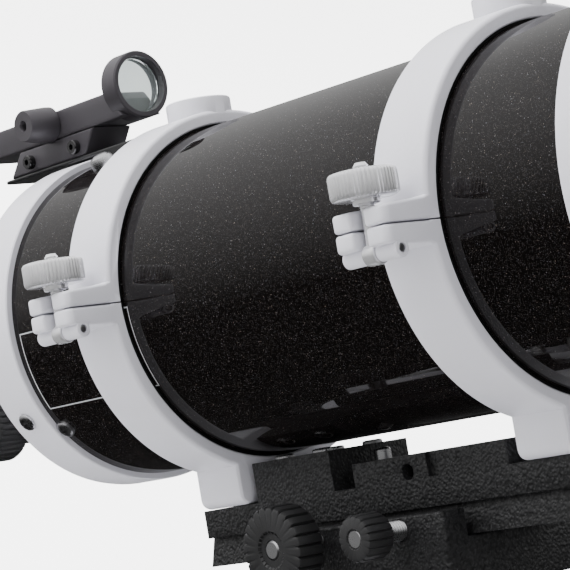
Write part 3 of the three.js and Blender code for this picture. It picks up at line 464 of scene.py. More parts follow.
class SharedEffects:
    """The node groups that more than one finish uses."""

    def __init__(self) -> None:
        """Builds the groups once."""
        self.grain = self.make_grain()
        self.handling = self.make_handling()
        self.flakes = self.make_flakes()

    @staticmethod
    def begin(name: str, inputs: Dict[str, float], outputs: Dict[str, str]) -> Tuple[
            bpy.types.NodeTree, Sockets, bpy.types.Node, bpy.types.Node]:
        """Starts a group with number inputs and typed outputs."""
        group = bpy.data.node_groups.new(name, "ShaderNodeTree")
        for key, default in inputs.items():
            socket = group.interface.new_socket(key, in_out="INPUT", socket_type="NodeSocketFloat")
            socket.default_value = default
        for key, kind in outputs.items():
            group.interface.new_socket(key, in_out="OUTPUT", socket_type=kind)
        sockets = Sockets(group)
        return group, sockets, sockets.node("NodeGroupInput"), sockets.node("NodeGroupOutput")

    @classmethod
    def make_grain(cls) -> bpy.types.NodeTree:
        """Returns the group for the even lumps of paint and moulded skins.

        Returns:
            A group with a Height output, driven by Scale, Detail and Sharpness.
        """
        group, s, start, end = cls.begin(
            "Surface grain", {"Scale": 600.0, "Detail": 3.0, "Sharpness": 0.5},
            {"Height": "NodeSocketFloat"})
        place = s.node("ShaderNodeTexCoord")
        noise = s.node("ShaderNodeTexNoise")
        s.join(place.outputs["Object"], noise.inputs["Vector"])
        s.join(start.outputs["Scale"], noise.inputs["Scale"])
        s.join(start.outputs["Detail"], noise.inputs["Detail"])
        s.join(start.outputs["Sharpness"], noise.inputs["Roughness"])
        s.join(noise.outputs["Fac"], end.inputs["Height"])
        return group

    @classmethod
    def make_handling(cls) -> bpy.types.NodeTree:
        """Returns the group for faint smears and dust that change gloss.

        Returns:
            A group with a Smear and a Dust mask, driven by Scale and Amount.
        """
        group, s, start, end = cls.begin(
            "Handling", {"Scale": 18.0, "Amount": 0.5},
            {"Smear": "NodeSocketFloat", "Dust": "NodeSocketFloat"})
        place = s.node("ShaderNodeTexCoord")
        broad = s.node("ShaderNodeTexNoise", Detail=6.0, Roughness=0.62, Distortion=0.6)
        s.join(place.outputs["Object"], broad.inputs["Vector"])
        s.join(start.outputs["Scale"], broad.inputs["Scale"])
        smear = s.spread(broad.outputs["Fac"], 0.0, 1.0, 0.45, 0.72)
        s.join(s.math("MULTIPLY", smear, start.outputs["Amount"]), end.inputs["Smear"])
        specks = s.node("ShaderNodeTexVoronoi", feature="F1", Scale=420.0)
        s.join(place.outputs["Object"], specks.inputs["Vector"])
        near = s.spread(specks.outputs["Distance"], 1.0, 0.0, 0.05, 0.12)
        pick = s.node("ShaderNodeSeparateColor")
        s.join(specks.outputs["Color"], pick.inputs[0])
        rare = s.math("GREATER_THAN", pick.outputs[0], 0.93)
        dust = s.math("MULTIPLY", s.math("MULTIPLY", near, rare), start.outputs["Amount"])
        s.join(dust, end.inputs["Dust"])
        return group

    @classmethod
    def make_flakes(cls) -> bpy.types.NodeTree:
        """Returns the group for metal flakes under a clear coat.

        Returns:
            A group with a Flake mask and a Tint, driven by Scale, Density and Size.
        """
        group, s, start, end = cls.begin(
            "Metal flakes", {"Scale": 900.0, "Density": 0.1, "Size": 0.3},
            {"Flake": "NodeSocketFloat", "Tint": "NodeSocketColor"})
        place = s.node("ShaderNodeTexCoord")
        cells = s.node("ShaderNodeTexVoronoi", feature="F1")
        s.join(place.outputs["Object"], cells.inputs["Vector"])
        s.join(start.outputs["Scale"], cells.inputs["Scale"])
        pick = s.node("ShaderNodeSeparateColor")
        s.join(cells.outputs["Color"], pick.inputs[0])
        present = s.math("LESS_THAN", pick.outputs[0], start.outputs["Density"])
        close = s.math("LESS_THAN", cells.outputs["Distance"], start.outputs["Size"])
        lit = s.spread(pick.outputs[1], 0.25, 1.0)
        mask = s.math("MULTIPLY", s.math("MULTIPLY", present, close), lit)
        s.join(mask, end.inputs["Flake"])
        s.join(s.blend(pick.outputs[2], (0.95, 0.78, 0.62), (0.82, 0.86, 1.0)), end.inputs["Tint"])
        return group


@dataclass(frozen=True)
class Finish:
    """A paint, plating or moulded skin.

    Attributes:
        name: The material's name.
        colour: Base colour.
        worn: Colour where it is handled; on crinkle paint, the lighter colour of the painted highlight on the
            wrinkles.
        roughness: Roughness where clean.
        worn_roughness: Roughness where handled.
        metallic: One for bare metal.
        coat: Clear coat weight.
        coat_roughness: Clear coat roughness.
        bump: Height of the grain in metres.
        scale: Grain lumps per metre.
        detail: Octaves of the grain.
        specular: Specular level.
    """

    name: str
    colour: Colour
    worn: Colour
    roughness: float
    worn_roughness: float
    metallic: float = 0.0
    coat: float = 0.0
    coat_roughness: float = 0.05
    bump: float = 0.00002
    scale: float = 600.0
    detail: float = 3.0
    specular: float = 0.5

    def start(self) -> Tuple[bpy.types.Material, Sockets, bpy.types.Node]:
        """Returns a new material, its sockets and its shader."""
        material = bpy.data.materials.new(self.name)
        material.use_nodes = True
        shader = material.node_tree.nodes["Principled BSDF"]
        shader.inputs["Metallic"].default_value = self.metallic
        shader.inputs["Specular IOR Level"].default_value = self.specular
        shader.inputs["Coat Weight"].default_value = self.coat
        shader.inputs["Coat Roughness"].default_value = self.coat_roughness
        return material, Sockets(material.node_tree), shader

    def group(self, s: Sockets, tree: bpy.types.NodeTree, **values: float) -> bpy.types.Node:
        """Places a shared group in this material."""
        made = s.node("ShaderNodeGroup")
        made.node_tree = tree
        for key, value in values.items():
            made.inputs[key].default_value = value
        return made

    def relief(self, s: Sockets, height: bpy.types.NodeSocket, shader: bpy.types.Node,
               distance: float, strength: float = 1.0) -> bpy.types.Node:
        """Joins a height to the shader's normal through a bump."""
        bump = s.node("ShaderNodeBump", Strength=strength, Distance=distance)
        s.join(height, bump.inputs["Height"])
        s.join(bump.outputs["Normal"], shader.inputs["Normal"])
        return bump

    def build(self, effects: SharedEffects) -> bpy.types.Material:
        """Builds the material.

        Args:
            effects: The shared node groups.

        Returns:
            The material.
        """
        material, s, shader = self.start()
        handling = self.group(s, effects.handling, Scale=18.0, Amount=0.6)
        mask = s.math("MAXIMUM", handling.outputs["Smear"], handling.outputs["Dust"], clamp=True)
        s.join(s.blend(mask, self.colour, self.worn), shader.inputs["Base Color"])
        s.join(s.spread(mask, self.roughness, self.worn_roughness), shader.inputs["Roughness"])
        grain = self.group(s, effects.grain, Scale=self.scale, Detail=self.detail, Sharpness=0.55)
        self.relief(s, grain.outputs["Height"], shader, self.bump)
        return material


@dataclass(frozen=True)
class FlakePaint(Finish):
    """Gloss paint with metal flakes under its clear coat."""

    def build(self, effects: SharedEffects) -> bpy.types.Material:
        """Builds the material.

        Args:
            effects: The shared node groups.

        Returns:
            The material.
        """
        material, s, shader = self.start()
        fine = self.group(s, effects.flakes, Scale=3200.0, Density=0.30, Size=0.42)
        coarse = self.group(s, effects.flakes, Scale=1900.0, Density=0.07, Size=0.30)
        weak = s.math("MULTIPLY", fine.outputs["Flake"], 0.05)
        strong = s.math("MULTIPLY", coarse.outputs["Flake"], 0.22)
        mask = s.math("MAXIMUM", weak, strong, clamp=True)
        mix = s.node("ShaderNodeMix", data_type="RGBA")
        s.join(mask, mix.inputs[0])
        mix.inputs[6].default_value = (*self.colour, 1)
        s.join(coarse.outputs["Tint"], mix.inputs[7])
        s.join(mix.outputs[2], shader.inputs["Base Color"])
        handling = self.group(s, effects.handling, Scale=9.0, Amount=0.4)
        s.join(s.spread(handling.outputs["Smear"], self.roughness, self.worn_roughness),
               shader.inputs["Roughness"])
        grain = self.group(s, effects.grain, Scale=self.scale, Detail=self.detail, Sharpness=0.4)
        self.relief(s, grain.outputs["Height"], shader, self.bump)
        return material


@dataclass(frozen=True)
class CrinklePaint(Finish):
    """Stove paint that dries into fine wrinkles, with a painted highlight in a lighter colour along the
    wrinkles.
    """

    def build(self, effects: SharedEffects) -> bpy.types.Material:
        """Builds the material.

        Args:
            effects: The shared node groups.

        Returns:
            The material.
        """
        material, s, shader = self.start()
        place = s.node("ShaderNodeTexCoord")
        warp = s.node("ShaderNodeTexNoise", Scale=self.scale * 0.5, Detail=2.0)
        s.join(place.outputs["Object"], warp.inputs["Vector"])
        cells = s.node("ShaderNodeTexVoronoi", feature="SMOOTH_F1", Scale=self.scale)
        s.join(place.outputs["Object"], cells.inputs["Vector"])
        height = s.math("ADD", cells.outputs["Distance"], s.math("MULTIPLY", warp.outputs["Fac"], 0.8))
        # This wrinkle mask paints the lighter second colour on the wrinkles as a painted highlight, and also
        # makes those places glossier.
        wrinkle_highlight_and_gloss = s.spread(height, 1.0, 0.0, 0.35, 1.05)
        s.join(s.blend(wrinkle_highlight_and_gloss, self.colour, self.worn), shader.inputs["Base Color"])
        s.join(s.spread(wrinkle_highlight_and_gloss, self.worn_roughness, self.roughness), shader.inputs["Roughness"])
        self.relief(s, height, shader, self.bump)
        return material


@dataclass(frozen=True)
class BrushedMetal(Finish):
    """Turned or brushed metal with fine lines across its length.

    Attributes:
        lines: Lines per metre.
    """

    lines: float = 2500.0

    def build(self, effects: SharedEffects) -> bpy.types.Material:
        """Builds the material.

        Args:
            effects: The shared node groups.

        Returns:
            The material.
        """
        material, s, shader = self.start()
        place = s.node("ShaderNodeTexCoord")
        stretch = s.node("ShaderNodeMapping")
        stretch.inputs["Scale"].default_value = (1.0, 0.04, 1.0)
        s.join(place.outputs["Object"], stretch.inputs["Vector"])
        lines = s.node("ShaderNodeTexNoise", Scale=self.lines, Detail=2.0)
        s.join(stretch.outputs["Vector"], lines.inputs["Vector"])
        handling = self.group(s, effects.handling, Scale=30.0, Amount=0.7)
        s.join(s.blend(handling.outputs["Smear"], self.colour, self.worn), shader.inputs["Base Color"])
        base = s.spread(handling.outputs["Smear"], self.roughness, self.worn_roughness)
        s.join(s.math("ADD", base, s.spread(lines.outputs["Fac"], -0.04, 0.06)), shader.inputs["Roughness"])
        self.relief(s, lines.outputs["Fac"], shader, self.bump)
        return material


@dataclass(frozen=True)
class CoatedGlass(Finish):
    """Lens glass with a faint coating."""

    def build(self, effects: SharedEffects) -> bpy.types.Material:
        """Builds the material.

        Args:
            effects: The shared node groups.

        Returns:
            The material.
        """
        material, s, shader = self.start()
        shader.inputs["Transmission Weight"].default_value = 0.9
        shader.inputs["IOR"].default_value = 1.5
        handling = self.group(s, effects.handling, Scale=14.0, Amount=0.5)
        s.join(s.spread(handling.outputs["Dust"], self.roughness, self.worn_roughness),
               shader.inputs["Roughness"])
        s.join(s.blend(handling.outputs["Smear"], self.colour, self.worn), shader.inputs["Base Color"])
        return material


@dataclass
class Palette:
    """Every finish of the mount, built once.

    Attributes:
        made: Materials by name.
    """

    made: Dict[str, bpy.types.Material] = field(default_factory=dict)

    def mix(self) -> None:
        """Builds every material."""
        effects = SharedEffects()
        finishes: Iterable[Finish] = (
            Finish("white_powder_coat", (0.72, 0.715, 0.775), (0.68, 0.675, 0.72), 0.34, 0.46,
                   bump=0.00009, scale=420.0, detail=2.0, coat=0.15, coat_roughness=0.25),
            Finish("white_cast_iron", (0.70, 0.695, 0.755), (0.66, 0.655, 0.70), 0.38, 0.50,
                   bump=0.00012, scale=360.0, detail=2.0),
            FlakePaint("black_flake_paint", (0.0032, 0.0024, 0.0024), (0.02, 0.02, 0.02), 0.32, 0.38,
                       coat=0.6, coat_roughness=0.03, specular=0.0, bump=0.000004, scale=160.0, detail=1.0),
            Finish("black_gloss_paint", (0.006, 0.0055, 0.006), (0.012, 0.012, 0.012), 0.22, 0.34,
                   coat=0.6, coat_roughness=0.08, bump=0.00001, scale=700.0),
            Finish("matt_black_interior", (0.006, 0.006, 0.006), (0.012, 0.012, 0.012), 0.85, 0.9,
                   bump=0.00008, scale=1200.0, specular=0.2),
            # The crinkle paint's second colour is no wear: it is the painted highlight on its wrinkles.
            CrinklePaint("black_crinkle_paint", (0.008, 0.008, 0.0085), (0.025, 0.025, 0.026), 0.34, 0.55,
                         bump=0.0005, scale=850.0),
            Finish("bright_chrome", (0.93, 0.93, 0.94), (0.80, 0.80, 0.82), 0.11, 0.20,
                   metallic=0.7, bump=0.000006, scale=900.0),
            BrushedMetal("zinc_steel", (0.60, 0.60, 0.61), (0.50, 0.50, 0.51), 0.26, 0.38,
                         metallic=1.0, bump=0.00001),
            BrushedMetal("satin_aluminium", (0.62, 0.63, 0.645), (0.52, 0.53, 0.54), 0.30, 0.42,
                         metallic=1.0, bump=0.000012, lines=1800.0),
            Finish("black_plastic", (0.012, 0.012, 0.0125), (0.03, 0.03, 0.031), 0.42, 0.56,
                   bump=0.00005, scale=1500.0, detail=2.0),
            Finish("dark_grey_finder", (0.048, 0.044, 0.050), (0.07, 0.066, 0.072), 0.42, 0.55,
                   metallic=0.25, bump=0.00003, scale=1400.0),
            Finish("black_felt", (0.006, 0.006, 0.006), (0.014, 0.014, 0.014), 0.95, 1.0,
                   bump=0.0004, scale=2600.0, detail=5.0, specular=0.1),
            CoatedGlass("coated_glass", (0.86, 0.95, 0.93), (0.80, 0.86, 0.92), 0.01, 0.25),
            Finish("pale_print", (0.42, 0.43, 0.45), (0.36, 0.37, 0.39), 0.45, 0.55,
                   bump=0.000005, scale=2000.0),
            Finish("black_ink", (0.01, 0.01, 0.01), (0.02, 0.02, 0.02), 0.5, 0.6,
                   bump=0.000005, scale=2000.0),
        )
        for finish in finishes:
            self.made[finish.name] = finish.build(effects)

    def __getitem__(self, name: str) -> bpy.types.Material:
        """Returns a material by name."""
        return self.made[name]


# ------------------------------------------------------------------ tube rings
@dataclass
class TubeRing:
    """A hinged ring that clamps the tube, with its swing bolt and knob.

    Attributes:
        palette: The finishes.
        label: rear or front, as in the frame's node names.
        x: Where the ring stands along the tube, in millimetres.
    """

    palette: Palette
    label: str
    x: float
    half_width: float = 14.0
    outer: float = 77.0
    inner: float = 71.2
    split: float = 0.3
    fillet: float = 2.0
    ear_fillet: float = 1.3
    boss_y: float = -2.0
    foot_half: float = 25.7
    foot_bottom: float = -89.1
    foot_half_height: float = 13.0
    foot_corner: float = 4.5
    ear_tip: float = -98.2
    slot: float = 3.3
    slot_end: float = -87.6
    barrel_y: float = -92.0
    barrel_z: float = -9.0
    barrel_radius: float = 3.3
    hinge_y: float = 81.0
    hinge_radius: float = 5.0
    hinge_inner: float = 4.7
    hinge_outer: float = 5.3
    hinge_end: float = 13.9
    flutes: int = 50
    flute_depths: Tuple[float, ...] = (0.6, 0.22, 0.03, 0.0, 0.03, 0.22)
    sides: int = 192

    def place(self) -> Matrix:
        """Returns the ring's own frame."""
        return OPTICS @ Matrix.Translation((self.x * MM, 0, 0))

    def ear(self, sign: int) -> bpy.types.Object:
        """Makes the flat ear that the swing bolt clamps.

        Args:
            sign: One for the upper half, minus one for the lower.

        Returns:
            The ear, slotted and with rounded edges.
        """
        outline = [(-66, sign * self.split), (self.ear_tip, sign * self.split),
                   (self.ear_tip, sign * 6.8), (-78, sign * 8.3), (-75.6, sign * 9.2),
                   (-73.9, sign * 11.2), (-72.6, sign * 14.5), (-71.4, sign * 19), (-66, sign * 19)]
        piece = Bench.prism("ear", outline, -self.half_width, self.half_width, Axis.X)
        plan = rounded_rectangle(0, (self.ear_tip - 40) / 2, self.half_width,
                                 (-40 - self.ear_tip) / 2, 3.2)
        Bench.combine(piece, Bench.prism("plan", plan, -40, 40), "INTERSECT")
        slot = [(-self.slot, -120), (self.slot, -120)]
        for step in range(13):
            angle = math.pi * step / 12
            slot.append((self.slot * math.cos(angle), self.slot_end + self.slot * math.sin(angle)))
        Bench.carve(piece, Bench.prism("slot", slot, -40, 40))
        Bench.clean(piece)
        return Bench.round_edges(piece, self.ear_fillet, 4, 40)

    def foot(self) -> bpy.types.Object:
        """Makes the flat foot of the lower half."""
        middle = self.foot_bottom + self.foot_half_height
        outline = rounded_rectangle(0, middle, self.foot_half, self.foot_half_height, self.foot_corner)
        return Bench.prism("foot", outline, -self.half_width, self.half_width, Axis.X, self.fillet)

    def boss(self) -> bpy.types.Object:
        """Makes the round boss on top of the upper half, with its tapped hole."""
        return Bench.turned("boss", [
            (13.92, 66), (13.92, 82.4), (13.7, 83.0), (13.1, 83.4), (3.5, 83.4), (3.0, 82.9), (3.0, 74.4)],
            sides=128, centre=(0, self.boss_y, 0))

    def rim(self, name: str) -> bpy.types.Object:
        """Makes the ring's outside with rounded edges, before it is bored and split."""
        width, soft = self.half_width, self.fillet
        corner = []
        for step in range(7):
            angle = math.pi / 2 * step / 6
            corner.append((self.outer - soft + soft * math.sin(angle),
                           width - soft + soft * math.cos(angle)))
        mirrored = [(radius, -height) for radius, height in reversed(corner)]
        return Bench.turned(name, [*corner, *mirrored], Axis.X, self.sides)

    def bore(self) -> bpy.types.Object:
        """Makes the tool that bores the ring and breaks the bore's edges."""
        width, chamfer = self.half_width, 0.5
        mouth = [(self.inner + 2 * chamfer, width + chamfer), (self.inner, width - chamfer)]
        mirrored = [(radius, -height) for radius, height in reversed(mouth)]
        return Bench.turned("bore", [*mouth, *mirrored], Axis.X, self.sides)

    def half(self, sign: int) -> bpy.types.Object:
        """Makes one cast half of the ring.

        Args:
            sign: One for the upper half, minus one for the lower.

        Returns:
            The half in the ring's frame.
        """
        part = "upper" if sign > 0 else "lower"
        body = self.rim(f"ring_{self.label}_{part}_casting")
        Bench.fuse(body, self.boss() if sign > 0 else self.foot(), self.ear(sign))
        Bench.carve(body, self.bore())
        limits = (-130, self.split) if sign > 0 else (-self.split, 130)
        Bench.carve(body, Bench.block("other_half", (-130, 130), (-130, 130), limits))
        self.add_hinge(body, sign)
        if sign < 0:
            self.add_barrel(body)
        return Bench.smooth(body, 28)

    def add_hinge(self, body: bpy.types.Object, sign: int) -> None:
        """Adds this half's share of the hinge on the far side."""
        inner, outer, end = self.hinge_inner, self.hinge_outer, self.hinge_end
        spans = [(-inner, inner)] if sign > 0 else [(-end, -outer), (outer, end)]
        for low, high in spans:
            knuckle = Bench.rod("knuckle", self.hinge_radius, low, high, Axis.X,
                                (0, self.hinge_y, 0), bevel=0.6)
            edges = (self.split, 4.6) if sign > 0 else (-4.6, -self.split)
            web = Bench.block("web", (low, high), (73.5, self.hinge_y), edges, 0.3)
            Bench.fuse(body, knuckle, web)
        Bench.carve(body, Bench.rod("pin_hole", 2.3, -20, 20, Axis.X, (0, self.hinge_y, 0)))

    def add_barrel(self, body: bpy.types.Object) -> None:
        """Adds the two barrel segments under the lower ear that hold the cross pin."""
        for low, high in ((-self.hinge_end, -self.slot), (self.slot, self.hinge_end)):
            segment = Bench.rod("segment", self.barrel_radius, low, high, Axis.X,
                                (0, self.barrel_y, self.barrel_z), bevel=0.5)
            web = Bench.block("web", (low + 0.4, high - 0.4), (self.barrel_y - 2.6, self.barrel_y + 2.6),
                              (self.barrel_z, -6.2))
            Bench.fuse(body, segment, web)
        hole = Bench.rod("pin_hole", 1.8, -20, 20, Axis.X, (0, self.barrel_y, self.barrel_z))
        Bench.carve(body, hole)

    def felt(self, sign: int) -> bpy.types.Object:
        """Makes the felt strip that lines one half."""
        part = "upper" if sign > 0 else "lower"
        low, high = -self.half_width + 0.5, self.half_width - 0.5
        ring = Bench.turned(f"ring_{self.label}_{part}_felt",
                            [(70.15, low), (71.1, low), (71.1, high), (70.15, high), (70.15, low)],
                            Axis.X, self.sides)
        limits = (-130, 0.6) if sign > 0 else (-0.6, 130)
        Bench.carve(ring, Bench.block("other_half", (-130, 130), (-130, 130), limits))
        return Bench.smooth(ring)

    def swing_bolt(self) -> bpy.types.Object:
        """Makes the bolt that swings up between the ears, with its threaded end."""
        shank = Bench.turned(f"ring_{self.label}_swing_bolt_turned",
                             [(2.8, self.barrel_z), *threaded(2.8, 6.5, 22.7, 0.9), (1.9, 23.5),
                              (0, 23.5)],
                             centre=(0, self.barrel_y, 0), sides=48)
        eye = Bench.rod("eye", 4.1, -3, 3, Axis.X, (0, self.barrel_y, self.barrel_z), 64, 0.5)
        Bench.fuse(shank, eye)
        Bench.carve(shank, Bench.rod("eye_hole", 1.8, -5, 5, Axis.X, (0, self.barrel_y, self.barrel_z)))
        return Bench.smooth(shank)

    def knob(self) -> bpy.types.Object:
        """Makes the plated knob with its collar and dished top."""
        return Bench.turned(
            f"ring_{self.label}_clamp_knob_turned",
            [(10.9, 10.7), (11.8, 11.0), (12.3, 11.6), (12.5, 12.4), (12.5, 19.0), (12.3, 19.8),
             (11.8, 20.4), (10.9, 20.7),
             (8.6, 20.7), (8.1, 20.2), (4.9, 20.0), (4.4, 20.5), (3.1, 20.5), (3.1, 8.7), (4.6, 8.7),
             (5.0, 9.1), (5.0, 10.4), (5.6, 10.7), (10.9, 10.7)],
            sides=self.flutes * len(self.flute_depths), centre=(0, self.barrel_y, 0))

    def fluted_knob(self) -> bpy.types.Object:
        """Makes the knob and presses its flutes in."""
        grip = self.knob()
        centre = Vector((0, self.barrel_y * MM, 0))
        per_flute = len(self.flute_depths)
        for vertex in grip.data.vertices:
            offset = vertex.co - centre
            reach = math.hypot(offset.x, offset.y)
            if reach < 11.7 * MM or not 10.8 * MM < offset.z < 20.6 * MM:
                continue
            angle = math.atan2(offset.y, offset.x)
            step = round(angle / (2 * math.pi) * self.flutes * per_flute) % per_flute
            depth = self.flute_depths[step] * MM
            if depth:
                scale = (reach - depth) / reach
                vertex.co = centre + Vector((offset.x * scale, offset.y * scale, offset.z))
        return Bench.smooth(grip, 24)

    def build(self) -> None:
        """Builds the ring and puts every piece on its body."""
        place = self.place()
        paint = self.palette["white_powder_coat"]
        felt = self.palette["black_felt"]
        label = self.label
        hand_over(self.half(-1), "cradle", "white_powder_coat", paint, f"ring_{label}_lower", matrix=place)
        hand_over(self.half(1), f"ring_{label}_upper", "white_powder_coat", paint,
                  f"ring_{label}_upper", matrix=place)
        hand_over(self.felt(-1), "cradle", "black_plastic", felt, matrix=place)
        hand_over(self.felt(1), f"ring_{label}_upper", "black_plastic", felt, matrix=place)
        chrome = self.palette["bright_chrome"]
        steel = self.palette["zinc_steel"]
        hand_over(self.swing_bolt(), f"ring_{label}_bolt", "bright_chrome", chrome,
                  f"ring_{label}_swing_bolt", matrix=place)
        hand_over(self.fluted_knob(), f"ring_{label}_knob", "bright_chrome", chrome,
                  f"ring_{label}_clamp_knob", matrix=place)
        cross = Bench.rod(f"ring_{label}_cross_pin_turned", 1.5, -13.6, 13.6, Axis.X,
                          (0, self.barrel_y, self.barrel_z), bevel=0.3)
        hand_over(cross, "cradle", "zinc_steel", steel, f"ring_{label}_cross_pin", matrix=place)
        pin = Bench.turned(f"ring_{label}_hinge_pin_turned",
                           [(1.4, -14.5), (2, -14.0), (2, 14.0), (1.4, 14.5)], Axis.X,
                           centre=(0, self.hinge_y, 0), sides=48)
        hand_over(pin, "cradle", "zinc_steel", steel, f"ring_{label}_hinge_pin", matrix=place)
        bolt = Bench.turned(f"ring_{label}_bolt_turned",
                            [(6.5, -111), (6.5, -106), (4, -106), (4, -79.5)], sides=48, bevel=0.3)
        Bench.carve(bolt, Bench.turned("key", [(3.2, -112), (3.2, -108.5)], sides=6))
        hand_over(bolt, "cradle", "zinc_steel", steel, f"ring_{label}_bolt", matrix=place)
        LOG.info("ring %s", label)


# ------------------------------------------------------------------ optical tube
@dataclass
class Screw:
    """A pan-head screw with a cross recess, standing on the round tube.

    Attributes:
        x: Place along the tube in millimetres.
        angle: Degrees above the near side.
        seat: Radius of the surface that it stands on.
        radius: Head radius.
        height: Head height.
        domed: A plain domed nut in place of the cross recess.
    """

    x: float
    angle: float
    seat: float
    radius: float = 4.2
    height: float = 2.6
    domed: bool = False

    def build(self, name: str) -> bpy.types.Object:
        """Returns the screw in the tube's frame."""
        low = -1.0
        profile = [(self.radius, low), (self.radius, 0.5), (self.radius * 0.97, 0.55 * self.height),
                   (self.radius * 0.84, 0.8 * self.height), (self.radius * 0.55, 0.96 * self.height),
                   (self.radius * 0.2, self.height)]
        piece = Bench.turned(name, profile, sides=48)
        if not self.domed:
            arm = self.radius * 0.55
            for u, v in ((arm, 0.55), (0.55, arm)):
                recess = Bench.block("recess", (-u, u), (-v, v), (self.height - 1.3, self.height + 1))
                Bench.carve(piece, recess)
        angle = math.radians(self.angle)
        out = Vector((0, -math.cos(angle), math.sin(angle)))
        along = Vector((1, 0, 0))
        turn = Matrix((along, out.cross(along), out)).transposed().to_4x4()
        spot = Vector((self.x, 0, 0)) * MM + out * self.seat * MM
        return Bench.settle(Bench.smooth(piece), Matrix.Translation(spot) @ turn)


@dataclass
class OpticalTube:
    """The tube with its flange, dew shield, cell and lens.

    Attributes:
        palette: The finishes.
    """

    palette: Palette
    radius: float = 70.0
    rear: float = -157.1
    front: float = 195.7
    sides: int = 256

    def shells(self) -> None:
        """Builds the tube, the white castings and the glass."""
        tube = Bench.turned("tube_painted", [
            (68.5, self.rear), (self.radius, self.rear), (self.radius, self.front),
            (68.5, self.front), (68.5, self.rear)], Axis.X, self.sides)
        hand_over(tube, "tube", "black_flake_paint", self.palette["black_flake_paint"], "tube", matrix=OPTICS)
        white = self.palette["white_powder_coat"]
        flange = Bench.turned("rear_flange_cast", [
            (62, -146), (68.2, -146), (68.2, -157.4), (72.3, -157.4), (72.8, -157.9), (72.8, -178.5),
            (72.4, -181), (71.2, -183.2), (69, -184.6), (66.5, -185), (44, -185), (42.5, -184),
            (36.3, -184), (36.3, -179), (62, -175), (62, -146)], Axis.X, self.sides)
        hand_over(flange, "tube", "white_powder_coat", white, "rear_flange", matrix=OPTICS)
        shield = Bench.turned("dew_shield_painted", [
            (70.4, 173.8), (80.6, 173.8), (81.2, 174.1), (81.4, 174.8), (81.4, 296.5), (80.9, 296.9),
            (80.9, 298.1), (81.4, 298.5), (81.4, 299.2), (80.9, 300), (79.7, 300), (79.2, 299.4),
            (79.2, 176.8), (70.4, 176.8), (70.4, 173.8)], Axis.X, self.sides)
        hand_over(shield, "tube", "white_powder_coat", white, "dew_shield", matrix=OPTICS)
        black = self.palette["matt_black_interior"]
        lining = Bench.turned("dew_shield_lining", [
            (79.19, 178), (79.0, 178), (79.0, 296.5), (79.19, 296.5), (79.19, 178)], Axis.X, self.sides)
        hand_over(lining, "tube", "black_flake_paint", black, matrix=OPTICS)
        cell = Bench.turned("lens_cell_turned", [
            (70.3, 180), (78.9, 180), (78.9, 213), (75.9, 216), (65.5, 216), (64.9, 215.4), (61.8, 215.4),
            (61.8, 199.3), (58, 199.3), (58, 196), (70.3, 196), (70.3, 180)], Axis.X, self.sides)
        hand_over(cell, "tube", "black_flake_paint", black, "lens_cell", matrix=OPTICS)
        retainer = Bench.turned("lens_retainer_turned", [
            (58.5, 214), (61.5, 214), (61.5, 218), (59.2, 218), (58.5, 217.2), (58.5, 214)],
            Axis.X, self.sides)
        for turn in range(2):
            notch = Bench.block("notch", (216.6, 219), (-70, 70), (-1.4, 1.4))
            Bench.settle(notch, Matrix.Rotation(math.radians(90 * turn), 4, "X"))
            Bench.carve(retainer, notch)
        hand_over(retainer, "tube", "black_flake_paint", self.palette["black_gloss_paint"],
                  "lens_retaining_ring", matrix=OPTICS)
        curve = [(61.5 * step / 24, 209.6 + 4 * (1 - (step / 24) ** 2)) for step in range(24, 0, -1)]
        lens = Bench.turned("lens_ground", [(1.5, 200.5), (61.5, 199.6)] + curve, Axis.X, 128)
        hand_over(lens, "tube", "coated_glass", self.palette["coated_glass"], "lens", matrix=OPTICS)

    def baffles(self) -> None:
        """Builds the knife-edge baffles that show through the lens."""
        for index, (x, bore) in enumerate(((120.0, 54.0), (40.0, 45.0), (-60.0, 36.0))):
            ring = Bench.turned(f"tube_baffle_{index}", [
                (bore, x), (68.3, x - 1.2), (68.3, x + 1.2), (bore, x)], Axis.X, 96)
            hand_over(ring, "tube", "black_flake_paint", self.palette["matt_black_interior"], matrix=OPTICS)

    def rating_panel(self) -> None:
        """Builds the printed outline of the blank rating panel on the tube's near side."""
        low, high, left, right, line = -30.6, -1.8, -153.9, -77.5, 0.55
        surface = self.radius + 0.03
        half_angle = math.degrees(line / self.radius)
        strips = [(left, right, low, low + half_angle), (left, right, high - half_angle, high),
                  (left, left + line, low, high), (right - line, right, low, high)]
        panel: Optional[bpy.types.Object] = None
        for x0, x1, start, end in strips:
            steps = max(2, round(abs(end - start) / 1.5))
            outline = []
            for reach, order in ((surface, range(steps + 1)), (surface - 0.2, range(steps, -1, -1))):
                for step in order:
                    angle = math.radians(start + (end - start) * step / steps)
                    outline.append((-reach * math.cos(angle), reach * math.sin(angle)))
            strip = Bench.prism("rating_panel_outline", outline, x0, x1, Axis.X)
            if panel is None:
                panel = strip
            else:
                Bench.only(panel, strip)
                bpy.ops.object.join()
        hand_over(panel, "tube", "satin_aluminium", self.palette["pale_print"], matrix=OPTICS)

    def fasteners(self) -> None:
        """Builds the screws round the rear flange and the finder shoe's nut."""
        steel = self.palette["zinc_steel"]
        for index, turn in enumerate((0, 120, 240)):
            flange = Screw(-169.6, -32.2 + turn, 72.4).build(f"flange_screw_{index}")
            hand_over(flange, "tube", "zinc_steel", steel, matrix=OPTICS)
            tube = Screw(-153.2, -39.5 + turn, 69.8).build(f"tube_screw_{index}")
            hand_over(tube, "tube", "zinc_steel", steel, matrix=OPTICS)
        for index, angle in enumerate((67, 113)):
            nut = Screw(-131.5, angle, 69.8, 5.4, 5.6, True).build(f"shoe_nut_{index}")
            hand_over(nut, "tube", "zinc_steel", steel, matrix=OPTICS)

    def build(self) -> None:
        """Builds the whole tube."""
        self.shells()
        self.baffles()
        self.rating_panel()
        self.fasteners()
        LOG.info("optical tube")


